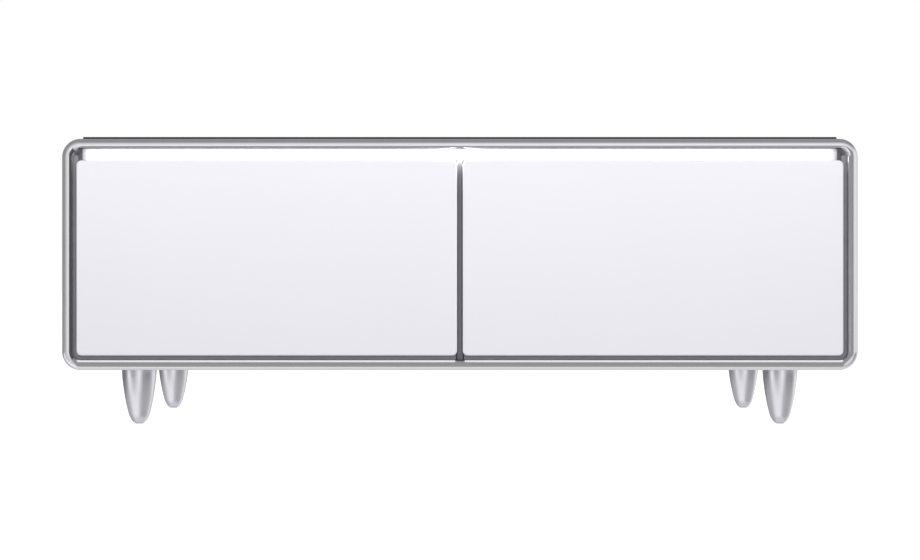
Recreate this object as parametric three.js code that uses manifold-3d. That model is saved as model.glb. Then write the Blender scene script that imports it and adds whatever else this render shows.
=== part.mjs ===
// Refrigerator coffee table: a rounded steel cabinet on four bullet legs, with a tempered glass top,
// a lit finger gap, and two insulated refrigerator drawers on telescopic slides.
// Millimetres. +X is to the right, +Y to the back, +Z up. The origin is on the floor, under the middle.

import * as THREE from "three";
import { mergeVertices } from "three/addons/utils/BufferGeometryUtils.js";
import Module from "manifold-3d";

const wasm = await Module();
wasm.setup();

// Cabinet
const bodyWidth = 1300;
const bodyDepth = 650;
const bodyHeight = 378;
const cornerRadius = 30;
const bodyCornerSteps = 6;
const legHeight = 95; // floor to the underside of the cabinet
const fitGap = 0.3; // left between pieces that touch
const overrun = 3; // how far a cutter runs past the faces that it cuts
const roundingSteps = 4; // in a quarter turn of a rounded edge
const mergeReach = 0.001; // corners closer than this are one corner
const paneCornerSteps = 6; // in a rounded corner of the panes
const blockCornerSteps = 3; // in a rounded corner of small moulded or pressed pieces
const smallArcSteps = 2; // in a very small rounded corner

// Wrap: the folded steel sleeve
const wrapThickness = 1.5;
const bezelProud = 1; // the bezel stands this far outside the wrap

// Bezel: a half-round nose, a deep inner wall and a tongue inside the wrap
const bezelWidth = 17; // the nose is half a circle as wide as this
const noseSteps = 10; // in the half circle
const bezelDepth = 24;
const innerWallThickness = 2;
const tongueThickness = 3.2;
const tongueLength = 12;

// Drawer fronts
const sideGap = 7; // between bezel and front, at the sides and below
const fingerGap = 18.5; // above the fronts
const centreGap = 9;
const frontSetback = 2; // the fronts lie this far behind the bezel's nose
const frontThickness = 6;
const frontCornerRadius = 8;
const frontEdgeRadius = 2.5;

// Insulated door core behind each front
const coreDepth = 36;
const coreInset = 5;
const coreTopDrop = 6;
const grooveWidth = 20;
const grooveDepth = 18; // below the top edge of the front
const grooveRadius = 8;

// Magnetic gasket on the back of the core
const gasketDepth = 12;
const gasketWidth = 14;
const gasketInset = 6; // from the edge of the core
const gasketRadius = 16;
const gasketWaist = 3; // the bellows is this much narrower on each side
const gasketBeadShare = 1 / 3; // of the depth, before the bellows narrows

// Steel face frame, liners and foam
const faceThickness = 1.2;
const openingMargin = 2; // from the gasket's inner edge to the opening
const openingRadius = 20;
const openingCornerSteps = 4;
const linerWall = 2;
const rearInsulation = 45; // from the liners to the machine room
const bulkheadThickness = 1.5;
const machineRoomDepth = 170; // from the bulkhead to the rear cover

// Centre mullion
const mullionClearance = 3; // to the drawer fronts and cores
const mullionNose = 4;

// Light bar in the finger gap
const lightBarEndGap = 12; // from the bezel to the ends of the light bar
const lightBarHeight = 16;
const channelThickness = 3;
const diffuserDepth = 6;
const diffuserRadius = 2;

// Glass top
const glassThickness = 5;
const glassSideInset = 30; // where the rounded corners of the cabinet begin
const glassFrontInset = 2; // behind the bezel
const glassBackInset = 8;
const glassCornerRadius = 5;
const glassEdgeRadius = 0.6;
const glassEdgeSteps = 3;

// Touch control module under the glass
const touchWidth = 230;
const touchDepth = 60;
const touchHeight = 8;
const touchSetback = 60; // from the front edge of the glass
const touchMargin = 4;

// Drawer bins
const binWall = 2.5;
const binHeadroom = 67.5; // above the rim
const binRearClearance = 32; // behind the bin, for the cold plate and the air
const binFloorClearance = 4;
const binCornerRadius = 12;
const binCornerSteps = 3;
const binFootChamfer = 3;
const rimWidth = 8;
const rimThickness = 3;

// Telescopic slides: an outer, a middle and an inner member, one inside the other
const slideHeight = 45;
const slideThickness = 12.5;
const slideSheet = 1.2;
const slidePlay = 0.5; // running clearance between members
const slideLip = 3.8;
const slideDrop = 60; // from the bin's rim to the middle of the slide
const slideFrontInset = 5; // behind the face frame
const hatHeight = 24;

// Cold plate on the back wall of each liner
const coldPlateMargin = 35; // to the walls of the liner
const coldPlateThickness = 2;
const coldChannelCount = 6;
const coldChannelWidth = 12;
const coldChannelHeight = 3.5;

// Legs
const legSideInset = 109; // leg axis from the sides
const legEndInset = 117; // leg axis from the front and the back
const legRadius = 29.5;
const legSegments = 16;
const legProfileShares = [
  // [share of the radius, share of the height]
  [0.34, 0],
  [0.53, 0.1],
  [0.66, 0.24],
  [0.81, 0.46],
  [0.915, 0.68],
  [0.98, 0.87],
  [1, 1],
];
const legProfileSteps = 10;
const studRadius = 5;
const nutPlateSide = 60;
const nutPlateThickness = 4;
const nutRadius = 9.5;
const nutHeight = 8;
const nutSides = 6;
const studEnd = 3; // the stud stands out of the nut by this much
const glideRadius = 7.5;
const glideThickness = 1.8;
const glideStemRadius = 2.5;
const glideStemLength = 10;
const glideSegments = 12;

// Rear cover
const coverThickness = 1.2;
const coverFlange = 14;
const coverSetback = 4;
const ventSlotLength = 54;
const ventSlotHeight = 6;
const ventPitchX = 66;
const ventPitchZ = 14;
const ventRows = 8;
const intakeColumns = 4;
const exhaustColumns = 3;
const ventCentreHeight = 150; // above the underside of the cabinet

// Cord gland in the rear cover
const glandInset = 90; // from the right side of the cabinet
const glandHeight = 50; // above the underside of the cabinet
const glandFlangeRadius = 11;
const glandFlangeThickness = 3;
const glandNeckRadius = 7;
const glandBoreRadius = 4.4;
const glandSegments = 12;

// Machine room: compressor and fan on the left, condenser in the middle, control box on the right
const machineClearance = 5; // between the leg's nut plate and the drip tray
const compressorRadius = 64;
const compressorHeight = 158;
const compressorSeamProud = 3;
const compressorSeamHeight = 5;
const compressorFootSide = 150;
const compressorFootDepth = 110;
const compressorFootThickness = 3;
const compressorFootRadius = 12;
const compressorSegments = 20;
const grommetRadius = 10;
const grommetHeight = 12;
const grommetSegments = 12;
const trayMargin = 15; // round the compressor's foot
const trayThickness = 2;
const trayRim = 8;
const baffleClearance = 45; // from the tray to the baffle
const baffleThickness = 1.5;
const fanSide = 120;
const fanThickness = 25;
const fanWall = 4;
const fanCornerRadius = 5;
const fanHubRadius = 19;
const fanHubSegments = 24;
const fanStatorThickness = 7;
const fanStrutWidth = 5;
const fanStrutCount = 4;
const fanBladeCount = 7;
const fanBoreSides = 32;
const fanBladeThickness = 1.6;
const fanBladePitch = 35; // degrees
const fanTipClearance = 2;
const fanRotorGap = 0.6;
const fanHeight = 190; // axis above the underside of the cabinet
const condenserClearance = 75; // to the fan and to the control box
const condenserRuns = 6;
const condenserPitch = 34;
const condenserBottom = 60; // lowest run above the underside of the cabinet
const endPlateWidth = 56;
const endPlateThickness = 2;
const endPlateMargin = 14;
const endPlateInset = 12; // from the ends of the straight runs
const pipeRadius = 4;
const pipeBend = 17; // radius of the middle of a bent pipe
const pipeSides = 8;
const pipeBendSteps = 3; // in a quarter turn
const stubOffset = 24; // pipe stubs from the middle of the compressor
const pipeRise = 88; // how far the pipes climb above the compressor, over the fan
const drierRadius = 10;
const drierLength = 90;
const drierTaper = 12;
const drierSegments = 12;
const controlClearance = 35; // from the leg's nut plate to the control box
const controlWidth = 150;
const controlDepth = 60;
const controlHeight = 100;
const controlRadius = 6;
const controlFloor = 40; // above the underside of the cabinet

// Places worked out from the sizes
const bodyBottom = legHeight;
const bodyTop = bodyBottom + bodyHeight;
const bodyMiddle = bodyBottom + bodyHeight / 2;
const frontPlane = -bodyDepth / 2;
const backPlane = bodyDepth / 2;
const insideWrap = bezelProud + wrapThickness + fitGap; // inset of what fills the wrap

const frontWidth = (bodyWidth - 2 * bezelWidth - 2 * sideGap - centreGap) / 2;
const frontHeight = bodyHeight - 2 * bezelWidth - sideGap - fingerGap;
const frontCentreX = (centreGap + frontWidth) / 2; // to either side of the middle
const frontBottom = bodyBottom + bezelWidth + sideGap;
const frontTop = frontBottom + frontHeight;
const frontMiddle = frontBottom + frontHeight / 2;
const frontFace = frontPlane + frontSetback;
const frontBack = frontFace + frontThickness;

const coreFront = frontBack + fitGap;
const coreBack = coreFront + coreDepth;
const coreBottom = frontBottom + coreInset;
const coreTop = frontTop - coreTopDrop;
const coreWidth = frontWidth - 2 * coreInset;
const gasketFace = coreBack + fitGap + gasketDepth;
const faceY = gasketFace + fitGap;
const faceBack = faceY + faceThickness;

const openingInset = gasketInset + gasketWidth + openingMargin; // from the core's edge
const openingWidth = coreWidth - 2 * openingInset;
const openingHeight = coreTop - coreBottom - 2 * openingInset;
const openingBottom = coreBottom + openingInset;
const openingMiddle = openingBottom + openingHeight / 2;

const coverFace = backPlane - coverSetback;
const bulkheadBack = coverFace - coverThickness - machineRoomDepth;
const foamBack = bulkheadBack - bulkheadThickness - fitGap;
const roomMiddle = bulkheadBack + machineRoomDepth / 2; // of the machine room, along Y
const linerFront = faceBack + fitGap;
const linerBack = foamBack - rearInsulation;
const linerDepth = linerBack - linerFront;

const floorOfWrap = bodyBottom + bezelProud + wrapThickness; // inside face of the wrap's bottom
const wrapTop = bodyTop - bezelProud;
const glassBottom = wrapTop + fitGap;
const glassFront = frontPlane + bezelDepth + glassFrontInset;
const glassBack = backPlane - glassBackInset;

const binBottom = openingBottom + binFloorClearance;
const binHeight = openingHeight - binFloorClearance - binHeadroom;
const binWidth = openingWidth - 2 * (slideThickness + 2 * fitGap);
const binFront = coreBack + fitGap;
const binDepth = linerDepth - binRearClearance;
const slideMiddle = binBottom + binHeight - slideDrop;
const slideFront = faceY + slideFrontInset;
const slideLength = binDepth;

const legX = bodyWidth / 2 - legSideInset;
const legY = bodyDepth / 2 - legEndInset;
const trayWidth = compressorFootSide + 2 * trayMargin;
const trayDepth = compressorFootDepth + 2 * trayMargin;
const compressorX = -legX + nutPlateSide / 2 + machineClearance + trayWidth / 2;
const baffleX = compressorX + trayWidth / 2 + baffleClearance;
const fanX = baffleX + baffleThickness + fitGap;
const fanZ = bodyBottom + fanHeight;
const controlX = legX - nutPlateSide / 2 - controlClearance - controlWidth / 2;
const condenserLeft = fanX + fanThickness + condenserClearance;
const condenserRight = controlX - controlWidth / 2 - condenserClearance;
const condenserX = (condenserLeft + condenserRight) / 2;
const condenserLow = bodyBottom + condenserBottom;
const condenserHigh = condenserLow + (condenserRuns - 1) * condenserPitch;
const runEnd = (condenserRight - condenserLeft) / 2 - pipeRadius - condenserPitch / 2;
const compressorBase = floorOfWrap + 2 * fitGap + trayThickness;
const shellBottom = compressorBase + grommetHeight + compressorFootThickness / 2;
const shellTop = shellBottom + compressorHeight;
const pipeHigh = shellTop + pipeRise;
const glandX = bodyWidth / 2 - glandInset;
const glandZ = bodyBottom + glandHeight;

// Finishes
const silver = { color: 0xb9bac0, roughness: 0.28, metalness: 1 };
const finishes = {
  wrapPaint: { color: 0xd4d5da, roughness: 0.4, metalness: 0.3 },
  bezel: silver,
  leg: silver,
  frontWhite: { color: 0xf1f1f4, roughness: 0.12, metalness: 0 },
  blackGlass: { color: 0x0b0b0d, roughness: 0.05, metalness: 0 },
  innerWhite: { color: 0xe9eaec, roughness: 0.5, metalness: 0 },
  foam: { color: 0xe6dcae, roughness: 0.9, metalness: 0 },
  diffuser: { color: 0xffffff, roughness: 0.6, metalness: 0 },
  greyRubber: { color: 0x8b8c90, roughness: 0.8, metalness: 0 },
  darkSteel: { color: 0x63646a, roughness: 0.45, metalness: 0.6 },
  zinc: { color: 0xa9acb0, roughness: 0.35, metalness: 0.9 },
  blackPaint: { color: 0x17181a, roughness: 0.4, metalness: 0.2 },
  blackPlastic: { color: 0x1d1e20, roughness: 0.6, metalness: 0 },
  copper: { color: 0xb46a45, roughness: 0.35, metalness: 1 },
  coldAluminium: { color: 0xc9ccd0, roughness: 0.45, metalness: 0.9 },
};
const materials = {};
for (const [name, finish] of Object.entries(finishes)) {
  materials[name] = new THREE.MeshStandardMaterial({ name, ...finish });
}

// Solids and geometries

function solid(geometry) {
  const bare = geometry.clone();
  bare.deleteAttribute("normal");
  bare.deleteAttribute("uv");
  const merged = mergeVertices(bare, mergeReach);
  return new wasm.Manifold(
    new wasm.Mesh({
      numProp: 3,
      vertProperties: merged.attributes.position.array,
      triVerts: new Uint32Array(merged.index.array),
    }),
  );
}

function geometryOf(manifold) {
  const mesh = manifold.getMesh();
  const geometry = new THREE.BufferGeometry();
  geometry.setAttribute("position", new THREE.BufferAttribute(mesh.vertProperties, 3));
  geometry.setIndex(new THREE.BufferAttribute(mesh.triVerts, 1));
  geometry.computeVertexNormals();
  return geometry;
}

function cut(geometry, ...cutters) {
  let result = solid(geometry);
  for (const cutter of cutters) result = result.subtract(solid(cutter));
  return geometryOf(result);
}

function join(...geometries) {
  let result = solid(geometries[0]);
  for (const other of geometries.slice(1)) result = result.add(solid(other));
  return geometryOf(result);
}

// Turns a geometry drawn in its own X-Y plane to face the front, so that its +Z looks along -Y.
function facingFront(geometry, x, y, z) {
  return geometry.rotateX(Math.PI / 2).translate(x, y, z);
}

// A box given by its lowest and highest corners.
function box(low, high) {
  const size = high.map((value, axis) => value - low[axis]);
  const centre = high.map((value, axis) => (value + low[axis]) / 2);
  return new THREE.BoxGeometry(...size).translate(...centre);
}

// Extrudes a shape drawn in (Y, Z) along X, from x0 to x1.
function extrudeAlongX(shape, x0, x1) {
  const geometry = new THREE.ExtrudeGeometry(shape, { depth: x1 - x0, bevelEnabled: false });
  const turn = new THREE.Matrix4().makeBasis(
    new THREE.Vector3(0, 1, 0),
    new THREE.Vector3(0, 0, 1),
    new THREE.Vector3(1, 0, 0),
  );
  return geometry.applyMatrix4(turn).translate(x0, 0, 0);
}

// Extrudes a shape drawn in (X, Z) along Y, from y0 to y1.
function extrudeAlongY(shape, y0, y1) {
  const geometry = new THREE.ExtrudeGeometry(shape, { depth: y1 - y0, bevelEnabled: false });
  return facingFront(geometry, 0, y1, 0);
}

function polygon(points) {
  return new THREE.Shape(points.map(([a, b]) => new THREE.Vector2(a, b)));
}

// A rounded rectangle as a list of points, anticlockwise, with the same count for every inset.
function roundedRing(width, height, radius, inset, cornerSteps) {
  const r = Math.max(radius - inset, fitGap);
  const halfWidth = width / 2 - inset - r;
  const halfHeight = height / 2 - inset - r;
  const ring = [];
  for (const [quarter, sx, sy] of [[0, 1, 1], [1, -1, 1], [2, -1, -1], [3, 1, -1]]) {
    for (let step = 0; step <= cornerSteps; step++) {
      const angle = ((quarter + step / cornerSteps) * Math.PI) / 2;
      ring.push([sx * halfWidth + r * Math.cos(angle), sy * halfHeight + r * Math.sin(angle)]);
    }
  }
  return ring;
}

// A solid whose every level is the same rounded rectangle, drawn in by the profile's inset.
// The profile is a list of [inset, level] that runs up the outside. It closes on itself where
// closed is true, and otherwise a flat cap covers its first and its last level.
function rectangleLathe({ width, height, radius, profile, cornerSteps, closed = false }) {
  const rings = profile.map(([inset]) => roundedRing(width, height, radius, inset, cornerSteps));
  const perRing = rings[0].length;
  const positions = rings.flatMap((ring, level) => ring.flatMap(([x, y]) => [x, y, profile[level][1]]));
  const faces = [];
  const levels = closed ? profile.length : profile.length - 1;
  for (let level = 0; level < levels; level++) {
    const here = level * perRing;
    const above = ((level + 1) % profile.length) * perRing;
    for (let i = 0; i < perRing; i++) {
      const next = (i + 1) % perRing;
      faces.push(here + i, here + next, above + next, here + i, above + next, above + i);
    }
  }
  if (!closed) {
    const last = (profile.length - 1) * perRing;
    for (let i = 1; i < perRing - 1; i++) faces.push(0, i + 1, i, last, last + i, last + i + 1);
  }
  const geometry = new THREE.BufferGeometry();
  geometry.setAttribute("position", new THREE.Float32BufferAttribute(positions, 3));
  geometry.setIndex(faces);
  geometry.computeVertexNormals();
  return geometry;
}

// The body's rounded outline in (X, Z), drawn in by an inset.
function bodyShape(inset) {
  const ring = roundedRing(bodyWidth, bodyHeight, cornerRadius, inset, bodyCornerSteps);
  return polygon(ring.map(([x, z]) => [x, z + bodyMiddle]));
}

// The same ring as points of a shape or a hole, round a centre.
function roundedRectangle({ width, height, radius, cornerSteps, centreX = 0, centreY = 0 }) {
  const ring = roundedRing(width, height, radius, 0, cornerSteps);
  return ring.map(([x, y]) => new THREE.Vector2(x + centreX, y + centreY));
}

// Points of an arc from one angle to another, in degrees, with both ends.
function arc(centreA, centreB, radius, from, to, steps) {
  return Array.from({ length: steps + 1 }, (_, step) => {
    const angle = THREE.MathUtils.degToRad(from + ((to - from) * step) / steps);
    return [centreA + radius * Math.cos(angle), centreB + radius * Math.sin(angle)];
  });
}

function circle(centreA, centreB, radius, sides) {
  return new THREE.Path(
    arc(centreA, centreB, radius, 0, 360, sides)
      .slice(1)
      .map(([a, b]) => new THREE.Vector2(a, b)),
  );
}

// An upright cylinder from z0 to z1.
function post(radius, z0, z1, segments, x = 0, y = 0) {
  const geometry = new THREE.CylinderGeometry(radius, radius, z1 - z0, segments);
  return geometry.rotateX(Math.PI / 2).translate(x, y, (z0 + z1) / 2);
}

// A path that an extrusion follows point by point, so that a straight stretch has no spare rings.
class Route extends THREE.Curve {
  constructor(points) {
    super();
    this.points = points;
  }

  getPointAt(share) {
    return this.points[Math.round(share * (this.points.length - 1))].clone();
  }

  getTangentAt(share) {
    const last = this.points.length - 1;
    const i = Math.round(share * last);
    const here = this.points[i];
    const tangent = new THREE.Vector3();
    if (i > 0) tangent.add(here.clone().sub(this.points[i - 1]).normalize());
    if (i < last) tangent.add(this.points[i + 1].clone().sub(here).normalize());
    return tangent.normalize();
  }
}

// The points of a path with square corners, each one rounded to the bend radius.
function bent(corners, bendRadius) {
  const places = corners.map((corner) => new THREE.Vector3(...corner));
  const points = [places[0]];
  for (let i = 1; i < places.length - 1; i++) {
    const back = places[i - 1].clone().sub(places[i]).setLength(bendRadius);
    const ahead = places[i + 1].clone().sub(places[i]).setLength(bendRadius);
    const centre = places[i].clone().add(back).add(ahead);
    for (let step = 0; step <= pipeBendSteps; step++) {
      const angle = ((step / pipeBendSteps) * Math.PI) / 2;
      const point = centre.clone().addScaledVector(ahead, -Math.cos(angle));
      points.push(point.addScaledVector(back, -Math.sin(angle)));
    }
  }
  points.push(places[places.length - 1]);
  // Where one bend runs straight into the next, they share a point.
  return points.filter((point, i) => i === 0 || point.distanceTo(points[i - 1]) > fitGap);
}

// A closed pipe with flat ends, along a path with square corners.
function pipe(corners, bendRadius, radius) {
  const section = new THREE.Shape(circle(0, 0, radius, pipeSides).getPoints());
  const route = new Route(bent(corners, bendRadius));
  return new THREE.ExtrudeGeometry(section, { steps: route.points.length - 1, extrudePath: route });
}

const bodyGroup = new THREE.Group();

function add(name, geometry, material, parent = bodyGroup) {
  const mesh = new THREE.Mesh(geometry, material);
  mesh.name = name;
  parent.add(mesh);
  return mesh;
}

// Cabinet shell

const legPlaces = [
  { name: "front_left", x: -legX, y: -legY },
  { name: "front_right", x: legX, y: -legY },
  { name: "rear_left", x: -legX, y: legY },
  { name: "rear_right", x: legX, y: legY },
];

const touchFront = glassFront + touchSetback;

function touchPocket(top, depth) {
  const halfWidth = touchWidth / 2 + touchMargin;
  return box(
    [-halfWidth, touchFront - touchMargin, top - depth],
    [halfWidth, touchFront + touchDepth + touchMargin, top + overrun],
  );
}

function makeWrap() {
  const shape = bodyShape(bezelProud);
  shape.holes.push(bodyShape(bezelProud + wrapThickness));
  const sleeve = extrudeAlongY(shape, frontPlane + bezelDepth + fitGap, backPlane);
  const studHoles = legPlaces.map(({ x, y }) =>
    post(studRadius + fitGap, bodyBottom - overrun, floorOfWrap + overrun, legSegments, x, y),
  );
  return cut(sleeve, touchPocket(wrapTop, wrapThickness + overrun), ...studHoles);
}

function makeBezel() {
  const noseRadius = bezelWidth / 2;
  const wallEnd = faceY - fitGap - frontPlane;
  const tongueOuter = insideWrap;
  const tongueInner = tongueOuter + tongueThickness;
  const nose = arc(noseRadius, -noseRadius, noseRadius, 180, 0, noseSteps);
  const profile = [
    [0, -bezelDepth],
    ...nose,
    [bezelWidth, -wallEnd],
    [bezelWidth - innerWallThickness, -wallEnd],
    [bezelWidth - innerWallThickness, -bezelDepth],
    [tongueInner, -bezelDepth],
    [tongueInner, -bezelDepth - tongueLength],
    [tongueOuter, -bezelDepth - tongueLength],
    [tongueOuter, -bezelDepth],
  ];
  const ring = rectangleLathe({
    width: bodyWidth,
    height: bodyHeight,
    radius: cornerRadius,
    profile,
    closed: true,
    cornerSteps: bodyCornerSteps,
  });
  return facingFront(ring, 0, frontPlane, bodyMiddle);
}

function makeFaceFrame() {
  const shape = bodyShape(insideWrap);
  for (const side of [-1, 1]) {
    const opening = roundedRectangle({
      width: openingWidth,
      height: openingHeight,
      radius: openingRadius,
      cornerSteps: openingCornerSteps,
      centreX: side * frontCentreX,
      centreY: openingMiddle,
    });
    shape.holes.push(new THREE.Path(opening));
  }
  return extrudeAlongY(shape, faceY, faceBack);
}

function makeMullion() {
  const front = frontBack + mullionClearance;
  const back = faceY - fitGap;
  const half = centreGap / 2 + coreInset - mullionClearance;
  const plan = polygon([
    [half, back],
    [-half, back],
    ...arc(-half + mullionNose, front + mullionNose, mullionNose, 180, 270, roundingSteps),
    ...arc(half - mullionNose, front + mullionNose, mullionNose, 270, 360, roundingSteps),
  ]);
  const bottom = bodyBottom + bezelWidth + fitGap;
  const bar = new THREE.ExtrudeGeometry(plan, { depth: coreTop - bottom, bevelEnabled: false });
  return bar.translate(0, 0, bottom);
}

const lightBarTop = bodyTop - bezelWidth - fitGap;
const lightBarBottom = lightBarTop - lightBarHeight;
const lightBarLength = bodyWidth - 2 * (bezelWidth + lightBarEndGap);

function makeLightChannel() {
  const back = faceY - fitGap;
  return box(
    [-lightBarLength / 2, back - channelThickness, lightBarBottom],
    [lightBarLength / 2, back, lightBarTop],
  );
}

function makeDiffuser() {
  const back = faceY - channelThickness - 2 * fitGap;
  const front = back - diffuserDepth;
  const r = diffuserRadius;
  const section = polygon([
    [back, lightBarBottom],
    [back, lightBarTop],
    ...arc(front + r, lightBarTop - r, r, 90, 180, roundingSteps),
    ...arc(front + r, lightBarBottom + r, r, 180, 270, roundingSteps),
  ]);
  return extrudeAlongX(section, -lightBarLength / 2, lightBarLength / 2);
}

function makeGlass() {
  const r = glassEdgeRadius;
  const edge = arc(r, glassThickness - r, r, 180, 90, glassEdgeSteps);
  const pane = rectangleLathe({
    width: bodyWidth - 2 * glassSideInset,
    height: glassBack - glassFront,
    radius: glassCornerRadius,
    profile: [[0, 0], ...edge],
    cornerSteps: paneCornerSteps,
  });
  return pane.translate(0, (glassFront + glassBack) / 2, glassBottom);
}

function makeTouchModule() {
  const top = glassBottom - fitGap;
  const low = [-touchWidth / 2, touchFront, top - touchHeight];
  return box(low, [touchWidth / 2, touchFront + touchDepth, top]);
}

// A liner-shaped block: the liner's outside, grown by a clearance, open past the front by overrun.
function linerBlock(side, clearance) {
  const block = rectangleLathe({
    width: openingWidth + 2 * (linerWall + clearance),
    height: openingHeight + 2 * (linerWall + clearance),
    radius: openingRadius + linerWall + clearance,
    profile: [[0, -linerDepth - clearance], [0, overrun]],
    cornerSteps: openingCornerSteps,
  });
  return facingFront(block, side * frontCentreX, linerFront, openingMiddle);
}

function makeLiner(side) {
  const tub = rectangleLathe({
    width: openingWidth + 2 * linerWall,
    height: openingHeight + 2 * linerWall,
    radius: openingRadius + linerWall,
    profile: [[0, -linerDepth], [0, 0], [linerWall, 0], [linerWall, linerWall - linerDepth]],
    cornerSteps: openingCornerSteps,
  });
  return facingFront(tub, side * frontCentreX, linerFront, openingMiddle);
}

function makeFoam() {
  const block = extrudeAlongY(bodyShape(insideWrap), faceBack + fitGap, foamBack);
  const half = nutPlateSide / 2 + fitGap;
  const pockets = legPlaces
    .filter(({ y }) => y < foamBack)
    .map(({ x, y }) => box([x - half, y - half, bodyBottom], [x + half, y + half, studTop + fitGap]));
  const touch = touchPocket(wrapTop, touchHeight + touchMargin);
  return cut(block, linerBlock(-1, fitGap), linerBlock(1, fitGap), touch, ...pockets);
}

function makeBulkhead() {
  return extrudeAlongY(bodyShape(insideWrap), bulkheadBack - bulkheadThickness, bulkheadBack);
}

function makeColdPlate(side) {
  const back = linerBack - linerWall - fitGap;
  const front = back - coldPlateThickness;
  const width = openingWidth - 2 * coldPlateMargin;
  const height = openingHeight - 2 * coldPlateMargin;
  const bottom = openingMiddle - height / 2;
  const pitch = height / coldChannelCount;
  const levels = Array.from({ length: coldChannelCount }, (_, i) => bottom + (i + 0.5) * pitch);
  const ribs = levels.flatMap((z) => [
    [front, z - coldChannelWidth / 2],
    [front - coldChannelHeight, z - coldChannelWidth / 4],
    [front - coldChannelHeight, z + coldChannelWidth / 4],
    [front, z + coldChannelWidth / 2],
  ]);
  const top = bottom + height;
  const section = polygon([[back, bottom], [front, bottom], ...ribs, [front, top], [back, top]]);
  const x = side * frontCentreX;
  return extrudeAlongX(section, x - width / 2, x + width / 2);
}

// Legs, with their studs, nut plates and glides

const legTop = bodyBottom + bezelProud - fitGap;
const nutPlateBottom = floorOfWrap + fitGap;
const nutTop = nutPlateBottom + nutPlateThickness + nutHeight;
const studTop = nutTop + studEnd;

function makeLeg() {
  const curve = new THREE.SplineCurve(
    legProfileShares.map(([radiusShare, heightShare]) => {
      const z = glideThickness + fitGap + heightShare * (legTop - glideThickness - fitGap);
      return new THREE.Vector2(radiusShare * legRadius, z);
    }),
  );
  const stemHole = glideStemRadius + fitGap;
  const holeTop = glideThickness + glideStemLength + 2 * fitGap;
  const bottom = glideThickness + fitGap;
  const profile = [
    new THREE.Vector2(0, holeTop),
    new THREE.Vector2(stemHole, holeTop),
    new THREE.Vector2(stemHole, bottom),
    ...curve.getPoints(legProfileSteps),
    new THREE.Vector2(studRadius, legTop),
    new THREE.Vector2(studRadius, studTop),
    new THREE.Vector2(0, studTop),
  ];
  return new THREE.LatheGeometry(profile, legSegments).rotateX(Math.PI / 2);
}

function makeGlide() {
  const profile = [
    [0, 0],
    [glideRadius, 0],
    [glideRadius, glideThickness],
    [glideStemRadius, glideThickness],
    [glideStemRadius, glideThickness + glideStemLength],
    [0, glideThickness + glideStemLength],
  ].map(([r, z]) => new THREE.Vector2(r, z));
  return new THREE.LatheGeometry(profile, glideSegments).rotateX(Math.PI / 2);
}

function makeNutPlate() {
  const half = nutPlateSide / 2;
  const plateTop = nutPlateBottom + nutPlateThickness;
  const plate = box([-half, -half, nutPlateBottom], [half, half, plateTop]);
  const nut = post(nutRadius, plateTop - fitGap, nutTop, nutSides);
  const hole = post(studRadius + fitGap, nutPlateBottom - overrun, nutTop + overrun, glideSegments);
  return geometryOf(solid(plate).add(solid(nut)).subtract(solid(hole)));
}

// Drawers

function makeFront() {
  const r = frontEdgeRadius;
  const edge = arc(r, frontThickness - r, r, 180, 90, roundingSteps);
  const panel = rectangleLathe({
    width: frontWidth,
    height: frontHeight,
    radius: frontCornerRadius,
    profile: [[0, 0], ...edge],
    cornerSteps: paneCornerSteps,
  });
  return facingFront(panel, 0, frontBack, frontMiddle);
}

function makeCore() {
  const grooveFloor = frontTop - grooveDepth;
  const grooveBack = coreFront + grooveWidth;
  const section = polygon([
    [coreFront, coreBottom],
    [coreBack, coreBottom],
    [coreBack, coreTop],
    [grooveBack, coreTop],
    ...arc(grooveBack - grooveRadius, grooveFloor + grooveRadius, grooveRadius, 360, 270, roundingSteps),
    [coreFront, grooveFloor],
  ]);
  return extrudeAlongX(section, -coreWidth / 2, coreWidth / 2);
}

function makeGasket() {
  const waist = gasketDepth * gasketBeadShare;
  const profile = [
    [0, 0],
    [0, waist],
    [gasketWaist, gasketDepth / 2],
    [0, gasketDepth - waist],
    [0, gasketDepth],
    [gasketWidth, gasketDepth],
    [gasketWidth, gasketDepth - waist],
    [gasketWidth - gasketWaist, gasketDepth / 2],
    [gasketWidth, waist],
    [gasketWidth, 0],
  ];
  const ring = rectangleLathe({
    width: coreWidth - 2 * gasketInset,
    height: coreTop - coreBottom - 2 * gasketInset,
    radius: gasketRadius,
    profile,
    closed: true,
    cornerSteps: blockCornerSteps,
  });
  return facingFront(ring, 0, gasketFace, (coreTop + coreBottom) / 2);
}

function makeBin() {
  const tub = rectangleLathe({
    width: binWidth,
    height: binDepth,
    radius: binCornerRadius,
    profile: [
      [binFootChamfer, 0],
      [0, binFootChamfer],
      [0, binHeight - rimThickness],
      [-rimWidth, binHeight - rimThickness],
      [-rimWidth, binHeight],
      [binWall, binHeight],
      [binWall, binWall + binFootChamfer],
      [binWall + binFootChamfer, binWall],
    ],
    cornerSteps: binCornerSteps,
  });
  // The rim runs along the sides and the back, and is cut off where the bin meets the core.
  const half = binWidth / 2 + rimWidth + overrun;
  const trim = box(
    [-half, binFront - rimWidth - overrun, binBottom],
    [half, binFront, binBottom + binHeight + overrun],
  );
  return cut(tub.translate(0, binFront + binDepth / 2, binBottom), trim);
}

// The three slide members are nested channels. Sections are drawn with 0 at the liner wall and
// the drawer at slideThickness, and end says which side of the drawer they are on.

function slideMember(points, end) {
  const section = points.map(([across, z]) => [end * across, z + slideMiddle]);
  return extrudeAlongY(polygon(section), slideFront, slideFront + slideLength);
}

// A channel with a web on the low side and lips on the high side.
function lippedChannel(low, high, halfHeight, lip) {
  const t = slideSheet;
  const upper = [
    [low + t, halfHeight - t],
    [high - t, halfHeight - t],
    [high - t, halfHeight - t - lip],
    [high, halfHeight - t - lip],
    [high, halfHeight],
    [low, halfHeight],
  ];
  const lower = upper.map(([across, z]) => [across, -z]).reverse();
  return [...upper, ...lower];
}

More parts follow.
